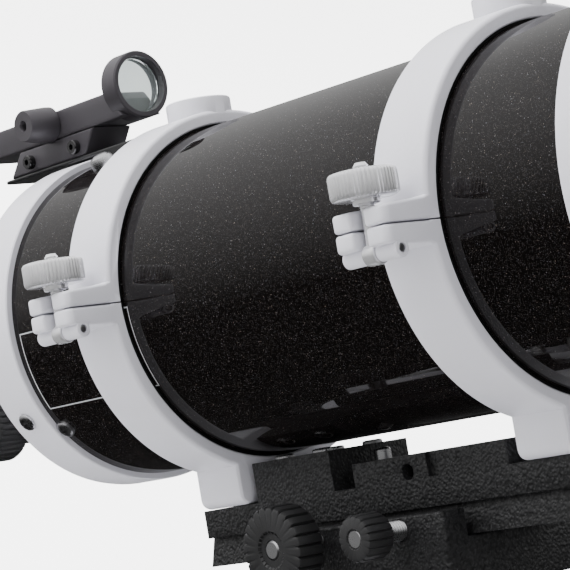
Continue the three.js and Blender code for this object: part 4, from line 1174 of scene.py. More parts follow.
# ------------------------------------------------------------------ dovetail plate
@dataclass
class DovetailPlate:
    """The plate under the rings, with its riser block, its rail and its stop stud.

    Attributes:
        palette: The finishes.
    """

    palette: Palette
    edge: float = 1.1
    stud_x: float = -18.5

    def build(self) -> None:
        """Builds the plate, the stud and the riser's screws."""
        plate = Bench.casting("dovetail_plate", "dovetail_plate_painted", self.edge)
        hand_over(plate, "cradle", "black_crinkle_paint", self.palette["black_crinkle_paint"],
                  "dovetail_plate")
        stud = Bench.turned("stop_stud_turned", [
            (2.5, -99), (2.5, -89.1), (3.5, -89.1), (3.5, -76.2), (3.1, -75.6), (2.2, -75.3)],
            centre=(self.stud_x, 0, 0), sides=48)
        hand_over(stud, "cradle", "zinc_steel", self.palette["zinc_steel"], "stop_stud", matrix=OPTICS)
        for index, (x, y) in enumerate(((-62, -14), (-38.5, -14), (-62, 14), (-38.5, 14))):
            head = Bench.turned(f"riser_screw_{index}", [
                (4.2, -74.5), (4.2, -72.2), (3.8, -71.6), (2.6, -71.4)], centre=(x, y, 0), sides=48)
            Bench.carve(head, Bench.rod("key", 2.3, -73.4, -70, centre=(x, y, 0), sides=6))
            hand_over(Bench.smooth(head), "cradle", "zinc_steel", self.palette["zinc_steel"], matrix=OPTICS)
        LOG.info("dovetail plate")


# ------------------------------------------------------------------ reflex finder
@dataclass
class ReflexFinder:
    """The unpowered reflex finder on its shoe.

    Attributes:
        palette: The finishes.
    """

    palette: Palette
    bar: Tuple[float, float] = (-245.0, -134.0)
    bar_front_top: float = -144.0
    bar_low: float = 86.3
    bar_top: float = 98.6
    hoop_x: float = -136.0
    hoop_z: float = 99.6
    knob_x: float = -187.0
    knob_z: float = 93.3
    screw_z: float = 79.9

    def sight(self) -> bpy.types.Object:
        """Makes the bar with its milled top and the hoop at its front."""
        rear, front = self.bar
        outline = [(rear, self.bar_low), (front, self.bar_low), (self.bar_front_top, self.bar_top),
                   (rear, self.bar_top)]
        body = Bench.prism("finder_body_milled", outline, -11, 11, Axis.Y, 1.0)
        Bench.carve(body, Bench.block("waist", (-238, -156), (-7, 7), (self.bar_top - 1.2, 120), 0.5))
        hoop = Bench.turned("hoop", [
            (14.4, -5), (15, -4.4), (15, 4.4), (14.4, 5)],
            Axis.X, 96, (self.hoop_x, 0, self.hoop_z))
        Bench.fuse(body, hoop)
        Bench.carve(body, Bench.rod("opening", 12.6, -5.02, 8, Axis.X, (self.hoop_x, 0, self.hoop_z), 96))
        Bench.carve(body, Bench.rod("knob_hole", 2.8, -12, -4, Axis.Y, (self.knob_x, 0, self.knob_z)))
        return Bench.smooth(body)

    def screws(self) -> None:
        """Builds the clamp's two socket screws."""
        for index, x in enumerate((-205.2, -170.5)):
            place = (x, 0, self.screw_z)
            head = Bench.turned(f"clamp_screw_{index}", [
                (3.2, -10.8), (3.2, -13.4), (2.8, -13.9), (1.4, -13.9)], Axis.Y, 48, place)
            Bench.carve(head, Bench.rod("key", 1.5, -15, -12.2, Axis.Y, place, 6))
            hand_over(Bench.smooth(head), "tube", "black_plastic", self.palette["black_gloss_paint"],
                      matrix=OPTICS)

    def build(self) -> None:
        """Builds the shoe, the clamp, the sight, its window and its knob."""
        shoe = Bench.casting("finder_shoe", "finder_shoe_moulded", 0.9)
        hand_over(shoe, "tube", "black_plastic", self.palette["black_plastic"], "finder_shoe")
        clamp = Bench.casting("finder_clamp", "finder_clamp_milled", 1.0)
        hand_over(clamp, "tube", "dark_grey_finder", self.palette["dark_grey_finder"], "finder_clamp")
        hand_over(self.sight(), "tube", "dark_grey_finder", self.palette["dark_grey_finder"],
                  "finder_body", matrix=OPTICS)
        window = Bench.turned("finder_window_ground", [
            (12.0, -1), (12.3, -0.7), (12.3, 0.7), (12.0, 1)], Axis.X, 96, (self.hoop_x, 0, self.hoop_z))
        hand_over(window, "tube", "coated_glass", self.palette["coated_glass"], "finder_window",
                  matrix=OPTICS)
        knob = Bench.turned("finder_knob_turned", [
            (2.5, -5), (2.5, -11.3), (8.2, -11.3), (8.2, -14), (7.1, -25.4), (6.7, -26),
            (2.6, -26), (2.2, -25.4), (2.0, -23)], Axis.Y, 96, (self.knob_x, 0, self.knob_z))
        hand_over(knob, "finder_knob", "black_plastic", self.palette["dark_grey_finder"], "finder_knob",
                  matrix=OPTICS)
        self.screws()
        LOG.info("reflex finder")


# ------------------------------------------------------------------ focuser
@dataclass
class Focuser:
    """The rack focuser with its drawtube, knobs, star diagonal and eyepiece.

    Attributes:
        palette: The finishes.
    """

    palette: Palette
    roller_x: float = -220.0
    roller_z: float = -33.9
    eyepiece_x: float = -308.5
    sides: int = 160

    def housing(self) -> bpy.types.Object:
        """Makes the fixed barrel with its pinion housing."""
        barrel = Bench.turned("focuser_body_turned", [
            (36, -176), (36, -185.3), (39.4, -185.3), (40, -185.9), (40, -189.4),
            (39.2, -190.3), (36.6, -191.4), (36, -192.3), (36, -246), (35.4, -246.6), (35.4, -248.4),
            (36, -249), (36, -253.6), (34.8, -255)], Axis.X, self.sides)
        house = Bench.block("house", (-240, -200), (-22, 22), (-45.9, -26), 2.5)
        Bench.fuse(barrel, house)
        Bench.carve(barrel,
                    Bench.rod("bore", 29.9, -256, -175, Axis.X, sides=self.sides),
                    Bench.rod("shaft_hole", 4.3, -30, 30, Axis.Y, (self.roller_x, 0, self.roller_z)))
        return Bench.smooth(barrel)

    def knob(self, side: int) -> bpy.types.Object:
        """Makes one focus knob, with a grooved rim and a dished face."""
        profile = [(19, 39.4), (19, 50.8), (18.2, 52.2), (16.6, 53), (10.4, 53), (9.4, 51.6),
                   (4.3, 51.6), (4.3, 37), (16.6, 37), (18.2, 37.8), (19, 39.4)]
        return Bench.turned(f"focus_knob_{'left' if side > 0 else 'right'}_turned",
                            [(radius, side * height) for radius, height in profile], Axis.Y, 160,
                            (self.roller_x, 0, self.roller_z), grooves=40, groove_depth=0.7)

    def moving_parts(self) -> None:
        """Builds the drawtube, the shaft and the knobs."""
        drawtube = Bench.turned("drawtube_turned", [
            (25.9, -176), (29.6, -176), (29.6, -268), (33.4, -268), (34, -268.6), (34, -271),
            (33.4, -271.5), (33.4, -277.5), (34, -278), (34, -280.2), (33.2, -281), (25.9, -281),
            (25.9, -176)], Axis.X, self.sides)
        hand_over(drawtube, "drawtube", "satin_aluminium", self.palette["satin_aluminium"], "drawtube",
                  matrix=OPTICS)
        for index, angle in enumerate((0, 120, 240)):
            screw = Bench.turned(f"collar_screw_{index}", [
                (1.6, 31), (1.6, 35), (3.8, 35), (4.2, 35.5), (4.2, 40.5), (3.6, 41.4)], sides=48)
            turn = Matrix.Translation((-274.5 * MM, 0, 0)) @ Matrix.Rotation(math.radians(angle + 60), 4, "X")
            hand_over(Bench.settle(screw, turn), "drawtube", "black_plastic",
                      self.palette["black_plastic"], matrix=OPTICS)
        shaft = Bench.turned("focus_shaft_turned", [
            (3.4, -56), (4, -55.4), (4, 55.4), (3.4, 56)], Axis.Y, 64, (self.roller_x, 0, self.roller_z))
        hand_over(shaft, "focus_shaft", "zinc_steel", self.palette["zinc_steel"], "focus_shaft",
                  matrix=OPTICS)
        for side, name in ((1, "focus_knob_left"), (-1, "focus_knob_right")):
            hand_over(self.knob(side), "focus_shaft", "black_plastic", self.palette["black_plastic"],
                      name, matrix=OPTICS)

    def diagonal(self) -> None:
        """Builds the star diagonal and its eyepiece."""
        outline = [(-281.4, -26), (-281.4, 30), (-336, 30), (-336, 16), (-294, -26)]
        body = Bench.prism("star_diagonal_moulded", outline, -26, 26, Axis.Y, 2.2)
        nose = Bench.turned("nose", [
            (25.4, -283.4), (25.4, -270), (24.9, -269.4), (24.9, -266.6), (25.4, -266), (25.4, -259.6),
            (24.8, -259)], Axis.X, self.sides)
        holder = Bench.turned("holder", [
            (20, 28), (20, 47.4), (19, 48.4)], sides=128, centre=(self.eyepiece_x, 0, 0))
        Bench.fuse(body, nose, holder)
        Bench.carve(body, Bench.rod("socket", 15.9, 30, 51, centre=(self.eyepiece_x, 0, 0), sides=96))
        hand_over(Bench.smooth(body), "diagonal", "black_plastic", self.palette["black_plastic"],
                  "star_diagonal", matrix=OPTICS)
        eyepiece = Bench.turned("eyepiece_turned", [
            (15.6, 34), (15.6, 50.4), (18.4, 50.4), (19, 51), (21, 56.4)] +
            [(20.9 if step % 2 else 20.2, 57 + step * 1.25) for step in range(20)] +
            [(20.6, 82.4), (19.4, 95), (18.6, 96), (15.2, 96), (12.4, 90), (12, 89)],
            sides=128, centre=(self.eyepiece_x, 0, 0))
        hand_over(eyepiece, "diagonal", "black_plastic", self.palette["black_plastic"], "eyepiece",
                  matrix=OPTICS)
        eye_lens = Bench.turned("eye_lens", [
            (11.6, 89.05), (11.6, 89.4), (8, 90.2), (4, 90.7), (1, 90.8)], sides=96,
            centre=(self.eyepiece_x, 0, 0))
        hand_over(eye_lens, "diagonal", "coated_glass", self.palette["coated_glass"], matrix=OPTICS)

    def build(self) -> None:
        """Builds the whole focuser."""
        hand_over(self.housing(), "tube", "black_flake_paint", self.palette["black_gloss_paint"],
                  "focuser_body", matrix=OPTICS)
        self.moving_parts()
        self.diagonal()
        LOG.info("focuser")


# ------------------------------------------------------------------ saddle
@dataclass
class Saddle:
    """The dovetail saddle with its shaft and its two screws.

    Attributes:
        palette: The finishes.
    """

    palette: Palette
    length: float = 48.0
    half: float = 38.0
    knob_z: float = -107.5

    def clamp(self) -> bpy.types.Object:
        """Makes the saddle with its fixed jaw and its screw wall."""
        run = (-self.length, self.length)
        body = Bench.block("saddle_milled", run, (-self.half, self.half), (-134, -113.3), 1.2)
        neck = Bench.turned("neck", [(28.4, -146), (30, -144.4), (30, -133)], sides=128)
        wall = Bench.block("wall", run, (-self.half, -25.5), (-118, -102.4), 1.0)
        jaw = Bench.prism("jaw", [(23.1, -118), (self.half, -118), (self.half, -102.4), (20, -102.4),
                                  (23.1, -113.3)], run[0], run[1], Axis.X, 0.7)
        Bench.fuse(body, neck, wall, jaw)
        Bench.carve(body, Bench.rod("pocket", 13, -147, -138, sides=96))
        for x in (-24, 24):
            Bench.carve(body, Bench.rod("screw_hole", 4.3, -39, -24.5, Axis.Y, (x, 0, self.knob_z)))
        return Bench.smooth(body)

    def screw(self, name: str, x: float, radius: float, grooves: int) -> None:
        """Builds one clamp screw with its grip and its threaded stem.

        Args:
            name: The frame node that it stands for.
            x: Place along the saddle.
            radius: Grip radius.
            grooves: How many grooves the grip has.
        """
        grip = Bench.turned(f"{name}_moulded", [
            (radius, -50.4), (radius, -60.4), (radius - 0.6, -61.6), (radius - 1.8, -62),
            (radius * 0.45, -62), (radius * 0.4, -61.2), (4.05, -61.2), (4.05, -48), (radius - 3, -48),
            (radius - 0.8, -49), (radius, -50.4)], Axis.Y, grooves * 6, (x, 0, self.knob_z),
            grooves=grooves, groove_depth=radius * 0.07)
        body = name.replace("_knob", "")
        hand_over(grip, body, "black_plastic", self.palette["black_plastic"], name, matrix=OPTICS)
        stem = Bench.turned(f"{name}_stem", [(3.2, -61.6), (4, -60.8)]
                            + threaded(4, -48, -24, 1.25) + [(3.0, -23)],
                            Axis.Y, 48, (x, 0, self.knob_z))
        hand_over(stem, body, "zinc_steel", self.palette["zinc_steel"], matrix=OPTICS)

    def build(self) -> None:
        """Builds the saddle, its shaft and its screws."""
        hand_over(self.clamp(), "saddle", "black_crinkle_paint", self.palette["black_crinkle_paint"],
                  "saddle", matrix=OPTICS)
        shaft = Bench.turned("dec_shaft_turned", [(12.2, -254), (12.7, -253.5), (12.7, -138.3)], sides=96)
        hand_over(shaft, "saddle", "zinc_steel", self.palette["zinc_steel"], "dec_shaft", matrix=OPTICS)
        self.screw("saddle_clamp_knob", -24, 17, 24)
        self.screw("saddle_safety_knob", 24, 9, 18)
        LOG.info("saddle")


# ------------------------------------------------------------------ polar head
@dataclass
class GradedCircle:
    """A setting circle with engraved divisions on its rim.

    Attributes:
        palette: The finishes.
        node: The frame node.
        body: The body it turns with.
        axis: Its axis.
        low: Where it starts along the axis.
        frame: The frame that it is drawn in.
        marks: How many divisions it has.
    """

    palette: Palette
    node: str
    body: str
    axis: Axis
    low: float
    frame: Matrix
    marks: int

    def divisions(self, name: str, every: int, length: float) -> bpy.types.Object:
        """Makes one set of division marks, spun round the rim from the first one.

        Args:
            name: The piece's name.
            every: Number of marks round the rim.
            length: Length of a mark in millimetres.

        Returns:
            The marks in the circle's frame.
        """
        mark = Bench.block(name, (35.8, 36.03), (-0.16, 0.16), (self.low + 0.3, self.low + 0.3 + length))
        Bench.only(mark)
        bpy.ops.object.mode_set(mode="EDIT")
        bpy.ops.mesh.select_all(action="SELECT")
        bpy.ops.mesh.spin(steps=every, dupli=True, angle=2 * math.pi, center=(0, 0, 0), axis=(0, 0, 1))
        bpy.ops.mesh.select_all(action="SELECT")
        bpy.ops.mesh.remove_doubles(threshold=1e-6)
        bpy.ops.object.mode_set(mode="OBJECT")
        return Bench.settle(mark, TURN[self.axis])

    def build(self) -> None:
        """Builds the circle and its divisions."""
        low, high = self.low, self.low + 10
        ring = Bench.turned(f"{self.node}_turned", [
            (18.4, low), (35.7, low), (36, low + 0.3), (36, high - 5), (30, high), (18.4, high),
            (18.4, low)], self.axis, 192)
        hand_over(ring, self.body, "satin_aluminium", self.palette["satin_aluminium"], self.node,
                  matrix=self.frame)
        for label, every, length in (("long", self.marks // 6, 4.2), ("short", self.marks, 2.2)):
            marks = self.divisions(f"{self.node}_{label}_marks", every, length)
            hand_over(marks, self.body, "black_plastic", self.palette["black_ink"], matrix=self.frame)


@dataclass
class PolarHead:
    """The azimuth base, the yoke and the two axis housings.

    Attributes:
        palette: The finishes.
    """

    palette: Palette
    pivot_z: float = 140.0
    push_z: float = 64.0
    azimuth_x: float = 66.0
    azimuth_z: float = 42.0
    sides: int = 160

    def base(self) -> None:
        """Builds the azimuth base with its post."""
        body = Bench.turned("azimuth_base_cast", [
            (55.6, 0), (57.4, 0.6), (58, 2), (58, 11.6), (57.4, 13.4), (55.6, 14), (46, 14), (44.6, 14.6),
            (44, 16), (44, 22)], sides=self.sides)
        Bench.fuse(body, Bench.block("tongue", (40, 72), (-14, 14), (0, 14), 2.0),
                   Bench.block("post", (60, 72), (-5, 5), (10, 50), 1.2))
        for degrees in (90, 180, 270):
            angle = math.radians(degrees)
            centre = (50 * math.cos(angle), 50 * math.sin(angle), 0)
            Bench.carve(body, Bench.rod("bolt_hole", 4.3, -1, 15, centre=centre))
        hand_over(Bench.smooth(body), "base", "white_powder_coat", self.palette["white_powder_coat"],
                  "azimuth_base")

    def cheek_outline(self) -> List[Tuple[float, float]]:
        """Returns the outline of a yoke cheek in x and z."""
        points = [(-52.0, 33.0), (52.0, 33.0), (52.0, 76.0)]
        for step in range(33):
            angle = -0.1 + (math.pi + 0.2) * step / 32
            points.append((28 * math.cos(angle), self.pivot_z + 28 * math.sin(angle)))
        return points + [(-52.0, 76.0)]

    def yoke(self) -> None:
        """Builds the yoke with its cheeks, its walls and its lugs."""
        body = Bench.turned("yoke_cast", [(48.5, 22.4), (50, 23.9), (50, 34)], sides=self.sides)
        Bench.fuse(body, Bench.block("foot", (-52, 52), (-42, 42), (29, 34.02), 1.6))
        for low in (-42, 30):
            Bench.fuse(body, Bench.prism("cheek", self.cheek_outline(), low, low + 12, Axis.Y, 1.5))
        for low in (-52, 42):
            Bench.fuse(body, Bench.block("wall", (low, low + 10), (-31, 31), (33, 75.9), 1.2))
        for low in (-26, 17):
            Bench.fuse(body, Bench.block("lug", (50, 72), (low, low + 9), (32, 50), 1.2))
        Bench.carve(body,
                    Bench.rod("push_hole", 5.3, -53, 53, Axis.X, (0, 0, self.push_z)),
                    Bench.rod("azimuth_hole", 4.3, -27, 27, Axis.Y, (self.azimuth_x, 0, self.azimuth_z)),
                    Bench.rod("pivot_hole", 6.3, -43, 43, Axis.Y, (0, 0, self.pivot_z)))
        hand_over(Bench.smooth(body), "yoke", "white_powder_coat", self.palette["white_powder_coat"], "yoke")
        for name, side in (("latitude_pivot_left", 1), ("latitude_pivot_right", -1)):
            profile = [(6, 22), (6, 42.3), (12, 42.3), (12, 47.4), (11.4, 48.6), (10.2, 49)]
            bolt = Bench.turned(f"{name}_turned", [(r, side * h) for r, h in profile], Axis.Y, 96,
                                (0, 0, self.pivot_z))
            key = sorted((side * 45.0, side * 51.0))
            Bench.carve(bolt, Bench.rod("key", 4.6, key[0], key[1], Axis.Y, (0, 0, self.pivot_z), 6))
            hand_over(Bench.smooth(bolt), "yoke", "zinc_steel", self.palette["zinc_steel"], name)

    def adjusters(self) -> None:
        """Builds the latitude screws and the azimuth knobs."""
        plastic, steel = self.palette["black_plastic"], self.palette["zinc_steel"]
        for name, side, end in (("latitude_bolt_front", 1, 95.6), ("latitude_bolt_rear", -1, 73.6)):
            stem = [(3.4, side * 9.6), (3.5, side * 10.4)] + threaded(5, side * 11.6, side * end, 1.5)
            screw = Bench.turned(f"{name}_screw", stem, Axis.X, 64, (0, 0, self.push_z))
            hand_over(screw, name, "zinc_steel", steel, name)
            hub = [(9, end + 0.05), (9, end + 11.6), (8.4, end + 13.2), (7, end + 14)]
            grip = Bench.turned(f"{name}_grip", [(r, side * h) for r, h in hub], Axis.X, 96,
                                (0, 0, self.push_z))
            bar = Bench.turned("bar", [(2.5, -27), (4.6, -26.2), (5.5, -24), (5.5, 24), (4.6, 26.2),
                                       (2.5, 27)], Axis.Y, 64, (side * (end + 6), 0, self.push_z))
            Bench.fuse(grip, bar)
            hand_over(Bench.smooth(grip), name, "black_plastic", plastic, name)
        for name, side in (("azimuth_knob_left", 1), ("azimuth_knob_right", -1)):
            centre = (self.azimuth_x, 0, self.azimuth_z)
            stem = [(3.2, side * 5.8), (3.5, side * 6.2)] + threaded(4, side * 7, side * 49.8, 1.25)
            hand_over(Bench.turned(f"{name}_screw", stem, Axis.Y, 48, centre), name, "zinc_steel", steel,
                      name)
            grip = [(12, 51), (12, 60), (11.4, 61.4), (10, 61.8), (5, 61.8), (4.6, 61.2), (1, 61.2),
                    (1, 49.85), (10.8, 49.85), (11.7, 50.3), (12, 51)]
            hand_over(Bench.turned(f"{name}_grip", [(r, side * h) for r, h in grip], Axis.Y, 144, centre,
                                   grooves=24, groove_depth=0.9), name, "black_plastic", plastic, name)

    def polar_housing(self) -> None:
        """Builds the right ascension housing and its cap."""
        body = Bench.turned("ra_housing_cast", [
            (17, -62), (18, -61), (18, -47), (18.6, -45.6), (20, -45), (25.4, -45), (26.6, -44.4),
            (27, -43), (27, 44), (26.4, 45.4), (25, 46)], Axis.X, self.sides)
        trunnion = Bench.rod("trunnion", 14, -29.5, 29.5, Axis.Y, sides=96)
        worm = Bench.block("worm_box", (30, 46), (-17, 17), (-46, -18), 1.8)
        boss = Bench.rod("lever_boss", 7, 20, 29, centre=(34, 0, 0), sides=64, bevel=0.6)
        Bench.fuse(body, trunnion, worm, boss)
        down = Matrix.Rotation(math.asin(POLE.z), 4, "Y")
        neck = Bench.settle(Bench.block("lug_neck", (-6, 6), (-9, 9), (-76, -20), 1.0), down)
        eye = Bench.settle(Bench.rod("lug_eye", 9, -9, 9, Axis.Y, (0, 0, -76), 64, 0.8), down)
        Bench.fuse(body, neck, eye)
        Bench.carve(body, Bench.rod("bore", 16, -48, 47, Axis.X, sides=96),
                    Bench.rod("mouth", 12.4, -63, -47, Axis.X, sides=96),
                    Bench.rod("worm_hole", 3.8, -18, 18, Axis.Y, (38, 0, -36)),
                    Bench.rod("lever_hole", 2.8, 19, 30, centre=(34, 0, 0)),
                    Bench.rod("near_pivot", 6.3, -31, -21.4, Axis.Y, sides=64),
                    Bench.rod("far_pivot", 6.3, 21.4, 31, Axis.Y, sides=64))
        hand_over(Bench.smooth(body), "polar", "white_powder_coat", self.palette["white_powder_coat"],
                  "ra_housing", matrix=POLAR)
        cap = Bench.turned("polar_cap_moulded", [
            (18, -63.4), (18, -68.4), (17.4, -69.5), (16, -70), (8, -70), (7, -69.2), (1, -69.2),
            (1, -53), (12, -53), (12, -62.3), (17.4, -62.3), (18, -63.4)], Axis.X, 144,
            grooves=24, groove_depth=0.8)
        hand_over(cap, "polar", "black_plastic", self.palette["black_plastic"], "polar_cap", matrix=POLAR)
        shaft = Bench.turned("ra_shaft_turned", [
            (9, -46), (9, -16), (15.4, -16), (15.7, -15.5), (15.7, 57.6), (15.4, 58)], Axis.X, 128)
        hand_over(shaft, "ra_axis", "zinc_steel", self.palette["zinc_steel"], "ra_shaft", matrix=POLAR)

    def declination_housing(self) -> None:
        """Builds the declination housing."""
        body = Bench.turned("dec_housing_cast", [
            (23, -48), (24.5, -47.4), (25, -46), (25, 56), (24.5, 57.4), (23, 58)], sides=self.sides)
        throat = Bench.turned("throat", [
            (29, -46.7), (30, -45.7), (30, -39.6), (29.4, -38), (24.6, -26.2), (24, -24), (24, 0)],
            Axis.X, self.sides)
        worm = Bench.block("worm_box", (18, 42), (-17, 17), (40, 56), 1.8)
        boss = Bench.rod("lever_boss", 7, 15, 27, Axis.Y, (0, 0, 12), 64, 0.6)
        Bench.fuse(body, throat, worm, boss)
        Bench.carve(body, Bench.rod("bore", 13, -40, 59, sides=96),
                    Bench.rod("worm_hole", 3.8, -18, 18, Axis.Y, (33, 0, 48)),
                    Bench.rod("lever_hole", 2.8, 18, 28, Axis.Y, (0, 0, 12)))
        hand_over(Bench.smooth(body), "ra_axis", "white_powder_coat", self.palette["white_powder_coat"],
                  "dec_housing", matrix=DECLINATION)

    def slow_motion(self, name: str, x: float, z: float, frame_matrix: Matrix) -> None:
        """Builds one slow-motion knob on its steel spindle."""
        grip = Bench.turned(f"{name}_grip", [
            (12, -72.4), (12, -59.6), (11.4, -58.4), (10, -58), (3.55, -58), (3.55, -73.4), (5, -74),
            (10.2, -74), (11.5, -73.5), (12, -72.4)], Axis.Y, 144, (x, 0, z), grooves=24, groove_depth=0.9)
        hand_over(grip, name, "black_plastic", self.palette["black_plastic"], name, matrix=frame_matrix)
        spindle = Bench.turned(f"{name}_spindle", [(3.2, -73.8), (3.5, -73.3), (3.5, 20.5), (3.1, 21)],
                               Axis.Y, 48, (x, 0, z))
        hand_over(spindle, name, "zinc_steel", self.palette["zinc_steel"], name, matrix=frame_matrix)

    def lever(self, name: str, body: str, place: Matrix) -> None:
        """Builds one plated lock lever at its place."""
        hub = Bench.turned(f"{name}_plated", [
            (2.5, -8), (2.5, 0), (6.2, 0), (7, 0.8), (7, 7.6), (6.6, 8.6), (5.6, 9)], sides=96)
        outline = rounded_rectangle(-21, 0, 21, 3.5, 3.3, 10)
        Bench.fuse(hub, Bench.prism("arm", outline, 4, 8, bevel=1.0))
        hand_over(Bench.smooth(hub), body, "bright_chrome", self.palette["bright_chrome"], name,
                  matrix=place)

    def build(self) -> None:
        """Builds the whole head."""
        self.base()
        self.yoke()
        self.adjusters()
        self.polar_housing()
        self.declination_housing()
        GradedCircle(self.palette, "ra_setting_circle", "ra_circle", Axis.X, 46.3, POLAR, 144).build()
        GradedCircle(self.palette, "dec_setting_circle", "dec_circle", Axis.Z, 58.3, DECLINATION, 180).build()
        self.slow_motion("ra_slow_motion", 38, -36, POLAR)
        self.slow_motion("dec_slow_motion", 33, 48, DECLINATION)
        self.lever("ra_lock_lever", "ra_lock", POLAR @ Matrix.Translation((34 * MM, 0, 29.3 * MM)))
        upright = Matrix.Rotation(math.radians(-90), 4, "X") @ Matrix.Rotation(math.radians(90), 4, "Z")
        self.lever("dec_lock_lever", "dec_lock",
                   DECLINATION @ Matrix.Translation((0, 27.3 * MM, 12 * MM)) @ upright)
        LOG.info("polar head")


# ------------------------------------------------------------------ counterweight
@dataclass
class Counterweight:
    """The counterweight on its shaft, with its screw and safety stop.

    Attributes:
        palette: The finishes.
    """

    palette: Palette
    screw_z: float = -162.0
    sides: int = 192

    def build(self) -> None:
        """Builds the shaft, the weight, the screw and the stop."""
        shaft = Bench.turned("counterweight_shaft_turned", [
            (8.4, -217.7), (9, -217.1), (9, -60.4), (13.4, -58.9), (14, -58.2), (14, -48.4)], sides=96)
        hand_over(shaft, "ra_axis", "zinc_steel", self.palette["zinc_steel"], "counterweight_shaft",
                  matrix=DECLINATION)
        stop = Bench.turned("counterweight_stop_moulded", [
            (14, -219), (14, -222.6), (13.2, -224), (6, -224), (5, -223), (1, -223), (1, -218),
            (13.4, -218), (14, -219)], sides=144, grooves=24, groove_depth=0.8)
        hand_over(stop, "ra_axis", "black_plastic", self.palette["black_plastic"], "counterweight_stop",
                  matrix=DECLINATION)
        weight = Bench.turned("counterweight_cast", [
            (10.4, -190), (46.2, -190), (48.8, -188.9), (50, -186.4), (50, -138.6), (48.8, -136.1),
            (46.2, -135), (10.4, -135), (9.3, -136), (9.3, -189), (10.4, -190)], sides=self.sides)
        Bench.carve(weight, Bench.rod("screw_hole", 4.3, -51, -9, Axis.Y, (0, 0, self.screw_z)))
        hand_over(Bench.smooth(weight), "counterweight", "white_cast_iron",
                  self.palette["white_cast_iron"], "counterweight", matrix=DECLINATION)
        grip = Bench.turned("counterweight_screw_grip", [
            (12, -59.2), (12, -70.4), (11.4, -71.6), (10, -72), (5, -72), (4.5, -71.3), (4.05, -71.3),
            (4.05, -58), (10.8, -58), (11.7, -58.4), (12, -59.2)], Axis.Y, 144, (0, 0, self.screw_z),
            grooves=24, groove_depth=0.9)
        hand_over(grip, "counterweight_screw", "black_plastic", self.palette["black_plastic"],
                  "counterweight_screw", matrix=DECLINATION)
        stem = Bench.turned("counterweight_screw_stem", [(3.2, -71.6), (4, -70.9)]
                            + threaded(4, -58, -10.6, 1.25) + [(3.2, -9.6)],
                            Axis.Y, 48, (0, 0, self.screw_z))
        hand_over(stem, "counterweight_screw", "zinc_steel", self.palette["zinc_steel"],
                  "counterweight_screw", matrix=DECLINATION)
        LOG.info("counterweight")


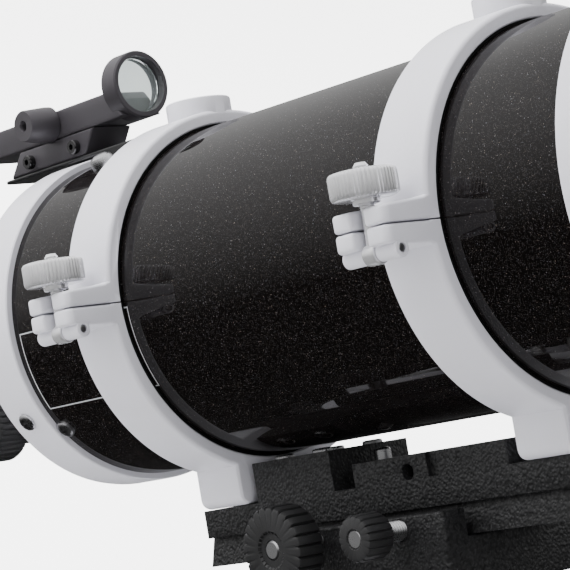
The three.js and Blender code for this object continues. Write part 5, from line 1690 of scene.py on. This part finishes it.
# ------------------------------------------------------------------ studio
@dataclass
class Studio:
    """The pale floor, the soft lights and the camera.

    Attributes:
        eye: The camera's place in the tube's frame, in millimetres.
        aim: Where it looks, in the same frame.
        top: The direction that is up in its view, in the same frame.
        lens: Focal length in millimetres for a 36 mm sensor.
        backdrop: How bright the sky looks to the camera.
        floor_glow: How much brighter than its light the floor looks to the camera.
        ambient: How bright it is as a light.
        mirror: How bright its reflection is below and above the tube.
        mirror_band: Where that reflection fades, as a share of straight up.
    """

    eye: Tuple[float, float, float] = (741.23, -711.80, -76.51)
    aim: Tuple[float, float, float] = (-59.74, 0.0, -2.10)
    top: Tuple[float, float, float] = (0.1625, 0.0799, 0.9835)
    lens: float = 163.1
    backdrop: float = 7.0
    floor_glow: float = 4.0
    ambient: float = 0.65
    mirror: Tuple[float, float] = (0.03, 1.4)
    mirror_band: Tuple[float, float] = (-0.15, 0.65)

    def floor(self) -> None:
        """Builds the pale floor."""
        material = bpy.data.materials.new("studio_floor")
        material.use_nodes = True
        shader = material.node_tree.nodes["Principled BSDF"]
        shader.inputs["Base Color"].default_value = (0.9, 0.9, 0.9, 1)
        shader.inputs["Roughness"].default_value = 0.9
        shader.inputs["Emission Color"].default_value = (1, 1, 1, 1)
        s = Sockets(material.node_tree)
        path = s.node("ShaderNodeLightPath")
        glow = s.math("MULTIPLY", path.outputs["Is Camera Ray"], self.floor_glow)
        s.join(glow, shader.inputs["Emission Strength"])
        Bench.only()
        bpy.ops.mesh.primitive_plane_add(size=14, location=(0, 0, 0))
        floor = bpy.context.active_object
        floor.name = "studio_floor"
        floor.data.materials.append(material)
        floor.visible_glossy = False

    def softbox(self, name: str, place: Tuple[float, float, float], size: Tuple[float, float],
                power: float, aim: Tuple[float, float, float] = (0.0, 0.0, 0.0)) -> None:
        """Hangs a rectangular soft light.

        Args:
            name: The light's name.
            place: Its place in the tube's frame, in metres.
            size: Its width and height in metres.
            power: Its power in watts.
            aim: Where it points, in the same frame.
        """
        data = bpy.data.lights.new(name, "AREA")
        data.shape = "RECTANGLE"
        data.size, data.size_y = size
        data.energy = power
        light = bpy.data.objects.new(name, data)
        bpy.context.scene.collection.objects.link(light)
        spot, target = OPTICS @ Vector(place), OPTICS @ Vector(aim)
        turn = (target - spot).to_track_quat("-Z", "Y").to_matrix().to_4x4()
        light.matrix_world = Matrix.Translation(spot) @ turn
        light.visible_glossy = False

    def sky(self) -> None:
        """Sets a white backdrop with even light, and reflections that fade out below the tube."""
        world = bpy.data.worlds.new("studio")
        bpy.context.scene.world = world
        world.use_nodes = True
        s = Sockets(world.node_tree)
        world.node_tree.nodes.clear()
        path = s.node("ShaderNodeLightPath")
        out = s.node("ShaderNodeOutputWorld")
        lights = []
        for strength in (self.backdrop, self.ambient, self.mirror[0]):
            made = s.node("ShaderNodeBackground")
            made.inputs["Color"].default_value = (1, 1, 1, 1)
            made.inputs["Strength"].default_value = strength
            lights.append(made)
        camera, diffuse, glossy = lights
        direction = s.node("ShaderNodeTexCoord")
        rise = s.node("ShaderNodeVectorMath", operation="DOT_PRODUCT")
        s.join(direction.outputs["Generated"], rise.inputs[0])
        rise.inputs[1].default_value = UP
        fade = s.spread(rise.outputs["Value"], *self.mirror, *self.mirror_band)
        s.join(fade, glossy.inputs["Strength"])
        first = s.node("ShaderNodeMixShader")
        s.join(path.outputs["Is Glossy Ray"], first.inputs[0])
        s.join(diffuse.outputs[0], first.inputs[1])
        s.join(glossy.outputs[0], first.inputs[2])
        second = s.node("ShaderNodeMixShader")
        s.join(path.outputs["Is Camera Ray"], second.inputs[0])
        s.join(first.outputs[0], second.inputs[1])
        s.join(camera.outputs[0], second.inputs[2])
        s.join(second.outputs[0], out.inputs["Surface"])

    def camera(self) -> None:
        """Sets the camera."""
        data = bpy.data.cameras.new("studio_camera")
        data.lens = self.lens
        data.sensor_width = 36
        data.clip_end = 50
        camera = bpy.data.objects.new("studio_camera", data)
        bpy.context.scene.collection.objects.link(camera)
        look = (Vector(self.aim) - Vector(self.eye)).normalized()
        side = look.cross(Vector(self.top)).normalized()
        rise = side.cross(look)
        turn = Matrix((side, rise, -look)).transposed().to_4x4()
        camera.matrix_world = OPTICS @ Matrix.Translation(Vector(self.eye) * MM) @ turn
        bpy.context.scene.camera = camera

    def build(self) -> None:
        """Sets up the whole studio."""
        self.floor()
        self.sky()
        self.softbox("overhead", (-0.2, -0.45, 1.4), (1.6, 1.0), 58)
        self.softbox("near_left", (-1.3, -1.1, 0.7), (0.9, 1.2), 12)
        self.softbox("near_right", (1.5, -0.7, 0.2), (0.5, 1.2), 6)
        self.camera()
        LOG.info("studio")


def main() -> None:
    """Builds every sub-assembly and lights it."""
    logging.basicConfig(level=logging.INFO, format="%(name)s: %(message)s")
    palette = Palette()
    palette.mix()
    for label, x in (("rear", -93.2), ("front", 93.2)):
        TubeRing(palette, label, x).build()
    OpticalTube(palette).build()
    DovetailPlate(palette).build()
    ReflexFinder(palette).build()
    Focuser(palette).build()
    Saddle(palette).build()
    PolarHead(palette).build()
    Counterweight(palette).build()
    Studio().build()


if __name__ == "__main__":
    main()
